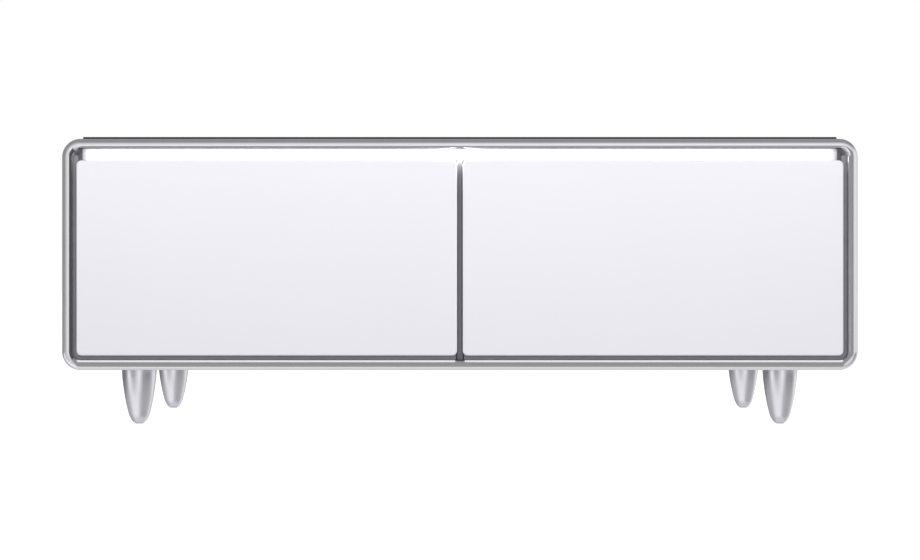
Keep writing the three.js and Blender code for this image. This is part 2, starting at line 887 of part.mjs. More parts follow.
const outerHalf = slideHeight / 2;
const middleHalf = outerHalf - slideSheet - slidePlay;
const innerHalf = middleHalf - slideSheet - slidePlay;
const outerHigh = slideThickness - slidePlay;
const middleLow = slideSheet + slidePlay;
const middleHigh = outerHigh - slideSheet - slidePlay;
const innerLow = middleLow + slideSheet + slidePlay;

function hatSection() {
  const t = slideSheet;
  const half = hatHeight / 2;
  const upper = [
    [innerLow, half - t],
    [innerLow, innerHalf],
    [innerLow + t, innerHalf],
    [innerLow + t, half],
    [slideThickness, half],
  ];
  const lower = upper.map(([across, z]) => [across, -z]).reverse();
  const hollow = [
    [slideThickness - t, -half + t],
    [slideThickness - t, half - t],
  ];
  return [...upper, ...lower, ...hollow];
}

const slideSections = {
  outer: lippedChannel(0, outerHigh, outerHalf, slideLip),
  middle: lippedChannel(middleLow, middleHigh, middleHalf, slideLip),
  inner: hatSection(),
};

// Machine compartment

function stadium(length, height, centreX, centreZ) {
  const r = height / 2;
  const half = length / 2 - r;
  const right = arc(centreX + half, centreZ, r, -90, 90, smallArcSteps);
  const left = arc(centreX - half, centreZ, r, 90, 270, smallArcSteps);
  return new THREE.Path([...right, ...left].map(([x, z]) => new THREE.Vector2(x, z)));
}

function makeRearCover() {
  const shape = bodyShape(insideWrap);
  for (const [centre, columns] of [[condenserX, intakeColumns], [compressorX, exhaustColumns]]) {
    for (let column = 0; column < columns; column++) {
      for (let row = 0; row < ventRows; row++) {
        const x = centre + (column - (columns - 1) / 2) * ventPitchX;
        const z = bodyBottom + ventCentreHeight + (row - (ventRows - 1) / 2) * ventPitchZ;
        shape.holes.push(stadium(ventSlotLength, ventSlotHeight, x, z));
      }
    }
  }
  const blank = extrudeAlongY(shape, coverFace - coverFlange, coverFace);
  const hollow = extrudeAlongY(
    bodyShape(insideWrap + coverThickness),
    coverFace - coverFlange - overrun,
    coverFace - coverThickness,
  );
  const hole = post(glandNeckRadius + fitGap, -overrun, overrun, glandSegments);
  return cut(blank, hollow, facingFront(hole, glandX, coverFace, glandZ));
}

function makeGland() {
  const inside = coverThickness + 2 * fitGap + glandFlangeThickness;
  const profile = [
    [glandBoreRadius, -inside],
    [glandFlangeRadius, -inside],
    [glandFlangeRadius, -inside + glandFlangeThickness],
    [glandNeckRadius, -inside + glandFlangeThickness],
    [glandNeckRadius, fitGap],
    [glandFlangeRadius, fitGap],
    [glandFlangeRadius - glandFlangeThickness / 2, fitGap + glandFlangeThickness],
    [glandBoreRadius, fitGap + glandFlangeThickness],
    [glandBoreRadius, -inside],
  ].map(([r, level]) => new THREE.Vector2(r, level));
  return new THREE.LatheGeometry(profile, glandSegments).translate(glandX, coverFace, glandZ);
}

function makeTray() {
  const low = floorOfWrap + fitGap;
  const x0 = compressorX - trayWidth / 2;
  const y0 = roomMiddle - trayDepth / 2;
  const blank = box([x0, y0, low], [x0 + trayWidth, y0 + trayDepth, low + trayRim]);
  const hollow = box(
    [x0 + trayThickness, y0 + trayThickness, low + trayThickness],
    [x0 + trayWidth - trayThickness, y0 + trayDepth - trayThickness, low + trayRim + overrun],
  );
  return cut(blank, hollow);
}

function makeCompressor() {
  const seam = (shellBottom + shellTop) / 2;
  const shoulder = compressorRadius / 2;
  const seamRadius = compressorRadius + compressorSeamProud;
  const profile = [
    [0, shellBottom],
    ...arc(compressorRadius - shoulder, shellBottom + shoulder, shoulder, 270, 360, roundingSteps),
    [compressorRadius, seam - compressorSeamHeight / 2],
    [seamRadius, seam - compressorSeamHeight / 2],
    [seamRadius, seam + compressorSeamHeight / 2],
    [compressorRadius, seam + compressorSeamHeight / 2],
    ...arc(compressorRadius - shoulder, shellTop - shoulder, shoulder, 0, 90, roundingSteps),
    [0, shellTop],
  ].map(([r, z]) => new THREE.Vector2(r, z));
  const can = new THREE.LatheGeometry(profile, compressorSegments).rotateX(Math.PI / 2);
  const footLevel = compressorBase + grommetHeight - fitGap;
  const foot = rectangleLathe({
    width: compressorFootSide,
    height: compressorFootDepth,
    radius: compressorFootRadius,
    profile: [[0, footLevel], [0, footLevel + compressorFootThickness]],
    cornerSteps: blockCornerSteps,
  });
  const grommets = [];
  for (const sx of [-1, 1]) {
    for (const sy of [-1, 1]) {
      const x = sx * (compressorFootSide / 2 - compressorFootRadius);
      const y = sy * (compressorFootDepth / 2 - compressorFootRadius);
      const top = compressorBase + grommetHeight;
      grommets.push(post(grommetRadius, compressorBase, top, grommetSegments, x, y));
    }
  }
  return join(can, foot, ...grommets).translate(compressorX, roomMiddle, 0);
}

const fanBoreRadius = fanSide / 2 - fanWall;

function makeBaffle() {
  const low = floorOfWrap + fitGap;
  const high = wrapTop - wrapThickness - fitGap;
  const y0 = bulkheadBack + fitGap;
  const y1 = coverFace - coverThickness - fitGap;
  const notch = coverFlange + fitGap; // clears the flange of the rear cover, above and below
  const shape = polygon([
    [y0, low],
    [y1 - notch, low],
    [y1 - notch, low + notch],
    [y1, low + notch],
    [y1, high - notch],
    [y1 - notch, high - notch],
    [y1 - notch, high],
    [y0, high],
  ]);
  shape.holes.push(circle(roomMiddle, fanZ, fanBoreRadius, fanBoreSides));
  shape.holes.push(circle(roomMiddle, pipeHigh, pipeRadius + fitGap, pipeSides));
  return extrudeAlongX(shape, baffleX, baffleX + baffleThickness);
}

// The fan is drawn round its own axis, along +X, with 0 at the baffle.
function makeFanFrame() {
  const square = { width: fanSide, height: fanSide, radius: fanCornerRadius, cornerSteps: smallArcSteps };
  const shape = new THREE.Shape(roundedRectangle(square));
  shape.holes.push(circle(0, 0, fanBoreRadius, fanBoreSides));
  const frame = extrudeAlongX(shape, 0, fanThickness);
  const stator = new THREE.CylinderGeometry(fanHubRadius, fanHubRadius, fanStatorThickness, fanHubSegments)
    .rotateZ(Math.PI / 2)
    .translate(fanThickness - fanStatorThickness / 2, 0, 0);
  const struts = Array.from({ length: fanStrutCount }, (_, i) =>
    box(
      [fanThickness - fanStatorThickness / 2, fanHubRadius / 2, -fanStrutWidth / 2],
      [fanThickness, fanBoreRadius + fanStrutWidth / 2, fanStrutWidth / 2],
    ).rotateX(((i + 0.5) * 2 * Math.PI) / fanStrutCount),
  );
  return join(frame, stator, ...struts);
}

function makeFanRotor() {
  const hubEnd = fanThickness - fanStatorThickness - fanRotorGap;
  const hub = new THREE.CylinderGeometry(fanHubRadius, fanHubRadius, hubEnd, fanHubSegments)
    .rotateZ(Math.PI / 2)
    .translate(hubEnd / 2, 0, 0);
  const reach = fanBoreRadius - fanTipClearance - fanHubRadius / 2;
  const pitch = THREE.MathUtils.degToRad(fanBladePitch);
  const chord = (hubEnd - 2 * fanRotorGap) / Math.cos(pitch);
  const top = [[chord / 2, 0], [0, chord / 8], [-chord / 2, 0]];
  const under = top.map(([a, b]) => [a, b - fanBladeThickness]).reverse();
  const section = polygon([...under, ...top]);
  const blades = Array.from({ length: fanBladeCount }, (_, i) =>
    new THREE.ExtrudeGeometry(section, { depth: reach, bevelEnabled: false })
      .rotateZ(pitch)
      .translate(hubEnd / 2, 0, fanHubRadius / 2)
      .rotateX((i * 2 * Math.PI) / fanBladeCount),
  );
  return join(hub, ...blades);
}

// The condenser's pipe climbs in level runs, and begins and ends on the left.
function makeCondenserTube(radius) {
  const reach = runEnd + condenserPitch / 2;
  const corners = [[-runEnd, condenserLow]];
  for (let run = 0; run < condenserRuns - 1; run++) {
    const side = run % 2 ? -1 : 1;
    const z = condenserLow + run * condenserPitch;
    corners.push([side * reach, z], [side * reach, z + condenserPitch]);
  }
  corners.push([-runEnd, condenserHigh]);
  const points = corners.map(([x, z]) => [x + condenserX, roomMiddle, z]);
  return pipe(points, condenserPitch / 2, radius);
}

// From the top of the compressor, over the fan, to the top run of the condenser.
function makeDischargePipe() {
  const startX = compressorX + stubOffset;
  const endX = condenserX - runEnd - fitGap;
  const corners = [
    [startX, shellTop + fitGap],
    [startX, pipeHigh],
    [endX - 2 * pipeBend, pipeHigh],
    [endX - 2 * pipeBend, condenserHigh],
    [endX, condenserHigh],
  ];
  return pipe(corners.map(([x, z]) => [x, roomMiddle, z]), pipeBend, pipeRadius);
}

// From the bulkhead, where it comes out of the foam, to the top of the compressor.
function makeSuctionPipe() {
  const x = compressorX - stubOffset;
  const z = pipeHigh;
  const corners = [
    [x, bulkheadBack + fitGap, z],
    [x, roomMiddle, z],
    [x, roomMiddle, shellTop + fitGap],
  ];
  return pipe(corners, pipeBend, pipeRadius);
}

// Brazed to the lower end of the condenser's pipe.
function makeDrier() {
  const profile = [
    [0, 0],
    [pipeRadius, 0],
    [drierRadius, drierTaper],
    [drierRadius, drierLength - drierTaper],
    [pipeRadius / 2, drierLength],
    [0, drierLength],
  ].map(([r, level]) => new THREE.Vector2(r, level));
  const endX = condenserX - runEnd - fitGap;
  const drier = new THREE.LatheGeometry(profile, drierSegments).rotateZ(Math.PI / 2);
  return drier.translate(endX, roomMiddle, condenserLow);
}

function makeEndPlate(side) {
  const x = condenserX + side * (runEnd - endPlateInset);
  const low = floorOfWrap + fitGap;
  const plate = box(
    [x - endPlateThickness / 2, roomMiddle - endPlateWidth / 2, low],
    [x + endPlateThickness / 2, roomMiddle + endPlateWidth / 2, condenserHigh + endPlateMargin],
  );
  return cut(plate, makeCondenserTube(pipeRadius + fitGap));
}

function makeControlBox() {
  const block = rectangleLathe({
    width: controlWidth,
    height: controlHeight,
    radius: controlRadius,
    profile: [[0, -controlDepth], [0, -controlRadius], [controlRadius / 2, 0]],
    cornerSteps: blockCornerSteps,
  });
  const z = bodyBottom + controlFloor + controlHeight / 2;
  return block.rotateX(-Math.PI / 2).translate(controlX, bulkheadBack + fitGap + controlDepth, z);
}

// Assembly

add("cabinet_wrap", makeWrap(), materials.wrapPaint);
add("front_bezel", makeBezel(), materials.bezel);
add("face_frame", makeFaceFrame(), materials.darkSteel);
add("centre_mullion", makeMullion(), materials.darkSteel);
add("light_bar_channel", makeLightChannel(), materials.zinc);
add("light_bar_diffuser", makeDiffuser(), materials.diffuser);
add("glass_top", makeGlass(), materials.blackGlass);
add("touch_module", makeTouchModule(), materials.blackPlastic);
add("insulation_foam", makeFoam(), materials.foam);
add("bulkhead", makeBulkhead(), materials.zinc);
add("rear_cover", makeRearCover(), materials.wrapPaint);
add("cord_gland", makeGland(), materials.blackPlastic);
add("compressor_tray", makeTray(), materials.zinc);
add("compressor", makeCompressor(), materials.blackPaint);
add("fan_baffle", makeBaffle(), materials.zinc);
add("condenser_coil", makeCondenserTube(pipeRadius), materials.copper);
add("discharge_pipe", makeDischargePipe(), materials.copper);
add("suction_pipe", makeSuctionPipe(), materials.copper);
add("filter_drier", makeDrier(), materials.copper);
add("condenser_plate_left", makeEndPlate(-1), materials.zinc);
add("condenser_plate_right", makeEndPlate(1), materials.zinc);
add("control_box", makeControlBox(), materials.blackPlastic);

const fan = new THREE.Group();
fan.position.set(fanX, roomMiddle, fanZ);
bodyGroup.add(fan);
add("fan_frame", makeFanFrame(), materials.blackPlastic, fan);
add("fan_rotor", makeFanRotor(), materials.blackPlastic, fan);

for (const { name, x, y } of legPlaces) {
  const place = new THREE.Group();
  place.position.set(x, y, 0);
  bodyGroup.add(place);
  add(`leg_${name}`, makeLeg(), materials.leg, place);
  add(`leg_glide_${name}`, makeGlide(), materials.blackPlastic, place);
  add(`nut_plate_${name}`, makeNutPlate(), materials.zinc, place);
}

for (const [name, side] of [["left", -1], ["right", 1]]) {
  add(`liner_${name}`, makeLiner(side), materials.innerWhite);
  add(`cold_plate_${name}`, makeColdPlate(side), materials.coldAluminium);

  const drawer = new THREE.Group();
  drawer.position.x = side * frontCentreX;
  bodyGroup.add(drawer);
  add(`drawer_${name}_front`, makeFront(), materials.frontWhite, drawer);
  add(`drawer_${name}_core`, makeCore(), materials.innerWhite, drawer);
  add(`drawer_${name}_gasket`, makeGasket(), materials.greyRubber, drawer);
  add(`drawer_${name}_bin`, makeBin(), materials.innerWhite, drawer);

  for (const [end, sign] of [["outboard", -side], ["inboard", side]]) {
    const wall = new THREE.Group();
    wall.position.x = -sign * (openingWidth / 2 - fitGap);
    drawer.add(wall);
    for (const [member, section] of Object.entries(slideSections)) {
      add(`slide_${name}_${end}_${member}`, slideMember(section, sign), materials.zinc, wall);
    }
  }
}

export default bodyGroup;
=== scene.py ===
# %% [markdown]
# # A refrigerator coffee table, dressed for its picture
# The table is a rounded steel cabinet with two cold drawers. Its CAD model is already exact, so this
# script keeps the model's places and sizes, and gives each surface the fine edges and the finish that
# the eye looks for. It starts by loading the CAD model as a fixed frame, with a helper that reads a part's
# box.

import math

import bpy
import numpy as np
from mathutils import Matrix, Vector


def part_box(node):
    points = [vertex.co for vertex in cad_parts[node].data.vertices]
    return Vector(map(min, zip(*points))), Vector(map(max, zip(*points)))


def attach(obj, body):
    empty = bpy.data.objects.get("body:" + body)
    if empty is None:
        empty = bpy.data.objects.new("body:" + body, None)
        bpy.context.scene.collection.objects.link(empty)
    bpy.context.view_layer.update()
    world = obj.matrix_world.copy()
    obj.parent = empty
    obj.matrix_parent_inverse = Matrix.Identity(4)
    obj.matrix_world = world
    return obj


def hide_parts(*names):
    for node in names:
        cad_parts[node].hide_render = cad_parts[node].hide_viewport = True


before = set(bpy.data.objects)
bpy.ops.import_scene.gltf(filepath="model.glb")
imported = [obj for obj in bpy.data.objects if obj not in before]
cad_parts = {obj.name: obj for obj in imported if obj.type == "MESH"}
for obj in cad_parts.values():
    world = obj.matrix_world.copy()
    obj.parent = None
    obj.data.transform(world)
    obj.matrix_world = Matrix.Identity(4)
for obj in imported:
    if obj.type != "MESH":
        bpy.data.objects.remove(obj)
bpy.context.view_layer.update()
MM = 0.001

# %% [markdown]
# ## The camera
# The picture was taken straight from the front with a long lens, at the height of the drawers, and
# with the camera held level. A level camera keeps every upright of the table upright in the picture.
# Its distance is settled by how much smaller the rear legs look than the front ones. It stood a
# little left of the table's middle, and the picture was trimmed so that the table is centred.

# %% Camera
PICTURE_WIDTH_PX = 920
FOCAL_PX = 1979
SENSOR_MM = 36
CAMERA_PLACE = (-0.017, -3.551, 0.2423)
TRIM_SHIFT = 0.0114  # of the picture's width
LEVEL_DEG = 90  # a camera that isn't turned looks straight down

camera_data = bpy.data.cameras.new("picture_camera")
camera_data.sensor_width = SENSOR_MM
camera_data.lens = FOCAL_PX * SENSOR_MM / PICTURE_WIDTH_PX
camera_data.shift_x = TRIM_SHIFT
camera = bpy.data.objects.new("picture_camera", camera_data)
camera.location = CAMERA_PLACE
camera.rotation_euler = (math.radians(LEVEL_DEG), 0, 0)
bpy.context.scene.collection.objects.link(camera)
bpy.context.scene.camera = camera
bpy.context.scene.view_settings.view_transform = "Standard"
print("lens in mm:", round(camera_data.lens, 2))

# %% [markdown]
# ## Colours and nodes
# Colours are written as sRGB hex values, as a paint chart gives them. Shaders work with linear light,
# so one function does the conversion. One more adds a node with its settings and links, and every
# finish below is put together with it.

# %% Colour and node helpers
def linear(hex_colour):
    """sRGB to linear light: values below 0.04045 are divided by 12.92, the others follow a 2.4 power."""
    srgb = np.array([int(hex_colour[i : i + 2], 16) for i in (1, 3, 5)]) / 255
    light = np.where(srgb <= 0.04045, srgb / 12.92, ((srgb + 0.055) / 1.055) ** 2.4)
    return (*light.tolist(), 1.0)


def add_node(tree, kind, inputs=None, **settings):
    """Adds a node. An input is a value, a socket to link, or a node whose first output is linked."""
    node = tree.nodes.new(kind)
    for key, value in settings.items():
        setattr(node, key, value)
    for key, value in (inputs or {}).items():
        if isinstance(value, bpy.types.Node):
            value = value.outputs[0]
        if isinstance(value, bpy.types.NodeSocket):
            tree.links.new(value, node.inputs[key])
        else:
            node.inputs[key].default_value = value
    return node


def new_finish(name):
    """An empty material and its node tree."""
    print("finish:", name)
    material = bpy.data.materials.new(name)
    material.use_nodes = True
    material.node_tree.nodes.clear()
    return material, material.node_tree


# %% [markdown]
# ## The studio
# The picture shows the table on pure white, and its metal tells the rest. The frame ring mirrors a grey
# room to the left and above and a bright one to the right. The round legs, which look slightly down,
# mirror three bright upright panels near the floor with dusk between them. Further down the panels
# run together into pools of light, and what faces straight down is white. So the room is worked out
# from the direction that light comes from: its bearing round the table, where 0 is the camera's side
# and 90 the right, and its height above the horizon. A photograph of a studio could light the table
# too, but here every patch of light can be matched to the metal that mirrors it.

# %% Bearing and height of the light
MATHS, RANGE, MIX, RAMP = "ShaderNodeMath", "ShaderNodeMapRange", "ShaderNodeMix", "ShaderNodeValToRGB"
COLOUR, SMOOTH = {"data_type": "RGBA"}, {"interpolation_type": "SMOOTHSTEP"}
world = bpy.data.worlds.new("studio")
world.use_nodes = True
bpy.context.scene.world = world
tree = world.node_tree
tree.nodes.clear()
direction = add_node(tree, "ShaderNodeTexCoord").outputs["Generated"]
axes = add_node(tree, "ShaderNodeSeparateXYZ", {"Vector": direction})
nearness = add_node(tree, MATHS, {0: axes.outputs["Y"], 1: -1.0}, operation="MULTIPLY")
bearing = add_node(tree, MATHS, {0: axes.outputs["X"], 1: nearness}, operation="ARCTAN2")
turn = add_node(tree, RANGE, {"Value": bearing, "From Min": -math.pi, "From Max": math.pi})
height = axes.outputs["Z"]
print("the light's bearing and height are worked out")

# %% [markdown]
# Four layers are laid over the room, one after the other: what is overhead, the panels just below the
# horizon, the pools of light further down, and what is underfoot. Each takes over between two heights,
# which are sines of an angle. The pools start lowest on the camera's side and highest behind the table.

# %% The room, the panels and the pools
COOL_CAST = np.array([0.985, 0.98, 1.0])
BRIGHTNESS_BY_BEARING = {
    "room": [
        *[(-180, 0.42), (-100, 0.38), (-50, 0.36), (-38, 0.5), (-24, 0.76), (10, 0.92), (40, 1.08)],
        *[(90, 1.0), (180, 0.42)],
    ],
    "panels": [
        *[(-180, 0.25), (-120, 0.2), (-98, 0.26), (-82, 0.66), (-64, 1.5), (-52, 1.0), (-38, 0.55)],
        *[(-24, 0.6), (-8, 0.98), (8, 1.36), (20, 1.0), (38, 0.44), (60, 0.37), (80, 0.33), (98, 0.7)],
        *[(120, 1.3), (180, 0.3)],
    ],
    "pools": [
        *[(-180, 0.5), (-120, 0.6), (-90, 0.68), (-66, 1.04), (-45, 1.26), (-10, 1.24), (6, 1.06)],
        *[(22, 0.74), (50, 0.6), (85, 0.62), (108, 0.8), (130, 1.1), (180, 0.55)],
    ],
}
OVERHEAD = (*(COOL_CAST * 0.37).tolist(), 1.0)
UNDERFOOT = (*(COOL_CAST * 0.92).tolist(), 1.0)
WHITE = linear("#ffffff")
POOL_DROP = {1: -0.5, 2: 1.5}  # nearness times the first plus the second scales the height for the pools


def between(start, end):
    """The two ends of what a Map Range node takes in."""
    return {"From Min": start, "From Max": end}


# A ramp's 0 to 1 is -180 to 180 degrees of bearing.
ramps = {}
for name, stops in BRIGHTNESS_BY_BEARING.items():
    ramps[name] = add_node(tree, RAMP, {"Fac": turn})
    ramp = ramps[name].color_ramp
    ramp.interpolation = "EASE"
    for degrees, _ in stops[1:-1]:
        ramp.elements.new((degrees + 180) / 360)
    for stop, (_, brightness) in zip(ramp.elements, stops):
        stop.color = (*(COOL_CAST * brightness).tolist(), 1.0)

sideways = add_node(tree, MATHS, {0: nearness, **POOL_DROP}, operation="MULTIPLY_ADD")
lowered = add_node(tree, MATHS, {0: height, 1: sideways}, operation="MULTIPLY")
LAYERS = [
    (height, between(0.25, 0.6), OVERHEAD),
    (height, between(-0.03, -0.14), ramps["panels"]),
    (lowered, between(-0.2, -0.44), ramps["pools"]),
    (height, between(-0.6, -0.92), UNDERFOOT),
]
light = ramps["room"]
for level, span, layer in LAYERS:
    share = add_node(tree, RANGE, {"Value": level, **span}, **SMOOTH)
    light = add_node(tree, MIX, {0: share, 6: light, 7: layer}, **COLOUR).outputs[2]
seen = add_node(tree, "ShaderNodeLightPath").outputs["Is Camera Ray"]
light = add_node(tree, MIX, {0: seen, 6: light, 7: WHITE}, **COLOUR).outputs[2]
sky = add_node(tree, "ShaderNodeBackground", {"Color": light, "Strength": 1.0})
add_node(tree, "ShaderNodeOutputWorld", {"Surface": sky})
print(len(LAYERS), "layers of light are laid over the room")

# %% [markdown]
# ## Floor and lamps
# The floor is plain and pale. It glows, as a light table does, so it stays white under the table and
# its shadows stay faint. A white plane without a glow would turn grey towards the camera. The table
# itself is lit by the room instead, whose lower half stands for the floor's light and holds the panels
# that the metal mirrors. Two broad lamps light the matt surfaces from above, the nearer one falling
# off down the fronts, as the picture shows. A tiny third one stands for what the light bar throws on
# the bar between the drawers.

# %% Floor and lamps
FLOOR_HALF, FLOOR_GLOW = 40.0, 0.86
floor_mesh = bpy.data.meshes.new("floor")
corners = np.array([[-1, -1, 0], [1, -1, 0], [1, 1, 0], [-1, 1, 0]]) * FLOOR_HALF
floor_mesh.from_pydata(corners.tolist(), [], [[0, 1, 2, 3]])
floor = bpy.data.objects.new("floor", floor_mesh)
bpy.context.scene.collection.objects.link(floor)
floor.visible_glossy = False
floor.visible_diffuse = False
floor_finish, tree = new_finish("white_studio_floor")
shader = add_node(
    tree,
    "ShaderNodeBsdfPrincipled",
    {
        "Base Color": linear("#b4b4b6"),
        "Roughness": 1.0,
        "Specular IOR Level": 0.0,
        "Emission Color": WHITE,
        "Emission Strength": FLOOR_GLOW,
    },
)
add_node(tree, "ShaderNodeOutputMaterial", {"Surface": shader})
floor_mesh.materials.append(floor_finish)


def soft_lamp(name, place, aim, size, power):
    """A rectangular lamp that lights matt surfaces only, so that metal mirrors the plain room."""
    data = bpy.data.lights.new(name, "AREA")
    data.shape = "RECTANGLE"
    data.size, data.size_y = size
    data.energy = power
    lamp = bpy.data.objects.new(name, data)
    lamp.location = place
    lamp.rotation_euler = (Vector(aim) - Vector(place)).to_track_quat("-Z", "Y").to_euler()
    lamp.visible_glossy = False
    bpy.context.scene.collection.objects.link(lamp)


# Each lamp's place, the point it faces, its length and width, all in metres, and its power in watts.
LAMPS = [
    ("overhead_lamp", (0, 0.2, 2.2), (0, 0, 0), (3.0, 2.4), 30),
    ("front_lamp", (0, -1.1, 1.15), (0, -0.33, 0.3), (3.0, 0.4), 13.2),
    ("bar_glow_lamp", (0, -0.3205, 0.446), (0, -0.314, 0.4), (0.012, 0.003), 0.035),
]
for lamp in LAMPS:
    soft_lamp(*lamp)
print("a floor and", len(LAMPS), "lamps are in place")

# %% [markdown]
# ## Cards for the metal
# A photographer of polished metal holds strips of card close to its edges, because an edge shows
# whatever it mirrors. Here the frame ring has six: grey ones before the lower and the right rail and
# under the top rail, a dark one beside the left rail, and two white ones that give the lower rail its
# bright inner line. Only what is polished sees them.

# %% Cards
def metal_card(name, low, high, brightness):
    """A flat card between two corners given in millimetres, which have one coordinate in common."""
    low, high = np.array(low) * MM, np.array(high) * MM
    first, second = np.flatnonzero(high - low)
    points = np.tile(low, (4, 1))
    points[1:3, first] = high[first]
    points[2:4, second] = high[second]
    mesh = bpy.data.meshes.new(name)
    mesh.from_pydata(points.tolist(), [], [[0, 1, 2, 3]])
    paper, tree = new_finish(f"{name}_paper")
    glow = {"Emission Color": WHITE, "Emission Strength": brightness}
    glow |= {"Base Color": linear("#000000"), "Specular IOR Level": 0.0}
    shader = add_node(tree, "ShaderNodeBsdfPrincipled", glow)
    add_node(tree, "ShaderNodeOutputMaterial", {"Surface": shader})
    mesh.materials.append(paper)
    card = bpy.data.objects.new(name, mesh)
    bpy.context.scene.collection.objects.link(card)
    for ray in ("camera", "diffuse", "transmission", "volume_scatter", "shadow"):
        setattr(card, f"visible_{ray}", False)


# Each card's lowest and highest corner in millimetres, and its brightness.
CARDS = [
    ("lower_rail_card", (-630, -340, 88), (630, -340, 116), 0.4),
    ("lower_line_card_left", (-624, -327.5, 116.5), (-8, -316, 116.5), 1.12),
    ("lower_line_card_right", (8, -327.5, 116.5), (624, -316, 116.5), 1.12),
    ("right_rail_card", (625, -340, 118), (646, -340, 455), 0.38),
    ("left_rail_card", (-628, -333, 118), (-628, -316, 452), 0.1),
    ("top_rail_card", (-622, -338, 445), (622, -321.5, 445), 0.4),
]
for card in CARDS:
    metal_card(*card)
print(len(CARDS), "cards are in place")

# %% [markdown]
# ## Surfaces from numbers
# Nearly every piece of this table is a section carried round a rounded rectangle: the frame ring, the
# sleeve, the fronts, the gaskets, the bins. Such a surface is a grid. One parameter runs along the
# section, the other round the rectangle, so whole arrays give every point at once. Flat stretches keep a
# row of points close to each bend, because smooth shading would otherwise bend them too. Where a
# section's sizes lack MM, they are plain millimetres, and the section is scaled to metres at its end.

# %% Rounds and outlines
CORNER_STEPS = 20  # in a quarter turn of a rounded rectangle
HOLD = 0.8 * MM  # flat faces keep a row of points this close to a bend, so shading stays flat
LEAST_REACH = 0.05 * MM  # keeps the points of a corner apart where the inset is past its radius
SHARP_DEG = 35  # edges that turn by more than this are shaded as sharp
SIDES = ("left", "right")


def quarter_round(centre, radius, start, end, steps=8):
    """Points on a circle: centre plus radius times the cosine and sine of an angle in degrees."""
    angle = np.radians(np.linspace(start, end, steps + 1))
    return np.array(centre) + radius * np.stack([np.cos(angle), np.sin(angle)], axis=1)


def joined(rows):
    """One section from several lists of points."""
    return np.concatenate([np.array(row, float) for row in rows])


def rounded_outline(width, height, radius, steps=CORNER_STEPS):
    """Corner centres and outward directions of the points round a rounded rectangle.

    A point of the outline with an inset is its centre plus its direction times (radius - inset).
    Each corner has its arc and one holding point on either side of it.
    """
    arc = np.radians(np.linspace(0, 90, steps + 1))
    angle = np.concatenate([[0], arc, [math.pi / 2]])
    shift = np.zeros((len(angle), 2))
    shift[0] = (0, -HOLD)
    shift[-1] = (-HOLD, 0)
    centre = np.array([width / 2 - radius, height / 2 - radius])
    centres, directions = [], []
    for turn, (sx, sy) in enumerate([(1, 1), (-1, 1), (-1, -1), (1, -1)]):
        quarter = turn * math.pi / 2
        cos, sin = math.cos(quarter), math.sin(quarter)
        spin = np.array([[cos, sin], [-sin, cos]])
        centres.append(centre * (sx, sy) + shift @ spin)
        directions.append(np.stack([np.cos(angle + quarter), np.sin(angle + quarter)], axis=1))
    return np.concatenate(centres), np.concatenate(directions)


print("a corner of an outline has", CORNER_STEPS + 1, "points and two holding points")


# %% A section carried round
def carry_round(section, width, height, radius, steps=CORNER_STEPS):
    """Carries a section, rows of (inset, rise), round a rounded rectangle, as a grid of (a, b, rise)."""
    centres, directions = rounded_outline(width, height, radius, steps)
    section = np.array(section, float)
    reach = np.maximum(radius - section[:, :1, None], LEAST_REACH)
    flat = centres[None] + reach * directions[None]
    rise = np.broadcast_to(section[:, 1, None, None], (*flat.shape[:2], 1))
    return np.concatenate([flat, rise], axis=2)


def facing_front(grid, centre_x, front_y, centre_z):
    """Stands a grid (a, b, rise) up: a becomes X, b becomes Z and rise goes back along Y."""
    return np.stack([grid[..., 0] + centre_x, grid[..., 2] + front_y, grid[..., 1] + centre_z], axis=-1)


def lying_flat(grid, centre_x, centre_y, level):
    """Leaves a grid (a, b, rise) flat, moved to its place."""
    return grid + np.array([centre_x, centre_y, level])


# %% [markdown]
# A piece has to be closed, with its faces outwards. The corner triple products of its faces sum up to
# six times its volume, and they come out negative when the faces point inwards, so then all are turned.

# %% Closed pieces
def signed_volume(points, quads, fills):
    """Sum of the corner triple products of all faces, positive when they point outwards."""
    arms = points - points.mean(axis=0)
    a, b, c, d = (arms[quads[:, k]] for k in range(4))
    volume = (a * (np.cross(b, c) + np.cross(c, d))).sum()
    for fill in fills:
        ring = arms[fill]
        volume += (ring[0] * np.cross(ring[1:-1], ring[2:])).sum()
    return volume


def closed_piece(name, points, faces, body, finish):
    """A smooth shaded piece with its sharp edges marked, which rides on a body."""
    mesh = bpy.data.meshes.new(name)
    mesh.from_pydata(points.tolist(), [], faces)
    mesh.polygons.foreach_set("use_smooth", np.ones(len(faces), bool))
    mesh.set_sharp_from_angle(angle=math.radians(SHARP_DEG))
    mesh.materials.append(finish)
    piece = bpy.data.objects.new(name, mesh)
    bpy.context.scene.collection.objects.link(piece)
    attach(piece, body)
    print(name, len(faces), "faces")
    return piece


def piece_from_grid(name, grid, body, finish, slot, tube=False):
    """A closed piece from a grid of points (rows, columns, 3).

    Columns always close. With tube the rows close too, and without it the end rows are filled.
    The signed volume of the faces tells whether they point outwards, and they are turned if not.
    """
    rows, columns = grid.shape[:2]
    i = np.arange(rows if tube else rows - 1)[:, None]
    j = np.arange(columns)[None]
    next_i, next_j = (i + 1) % rows, (j + 1) % columns
    corners = [i * columns + j, i * columns + next_j, next_i * columns + next_j, next_i * columns + j]
    quads = np.stack(np.broadcast_arrays(*corners), axis=-1).reshape(-1, 4)
    ends = [] if tube else [np.arange(columns)[::-1], (rows - 1) * columns + np.arange(columns)]
    points = grid.reshape(-1, 3)
    faces = [*quads.tolist(), *(end.tolist() for end in ends)]
    if signed_volume(points, quads, ends) < 0:
        faces = [face[::-1] for face in faces]
    return closed_piece(name, points, faces, body, finish)


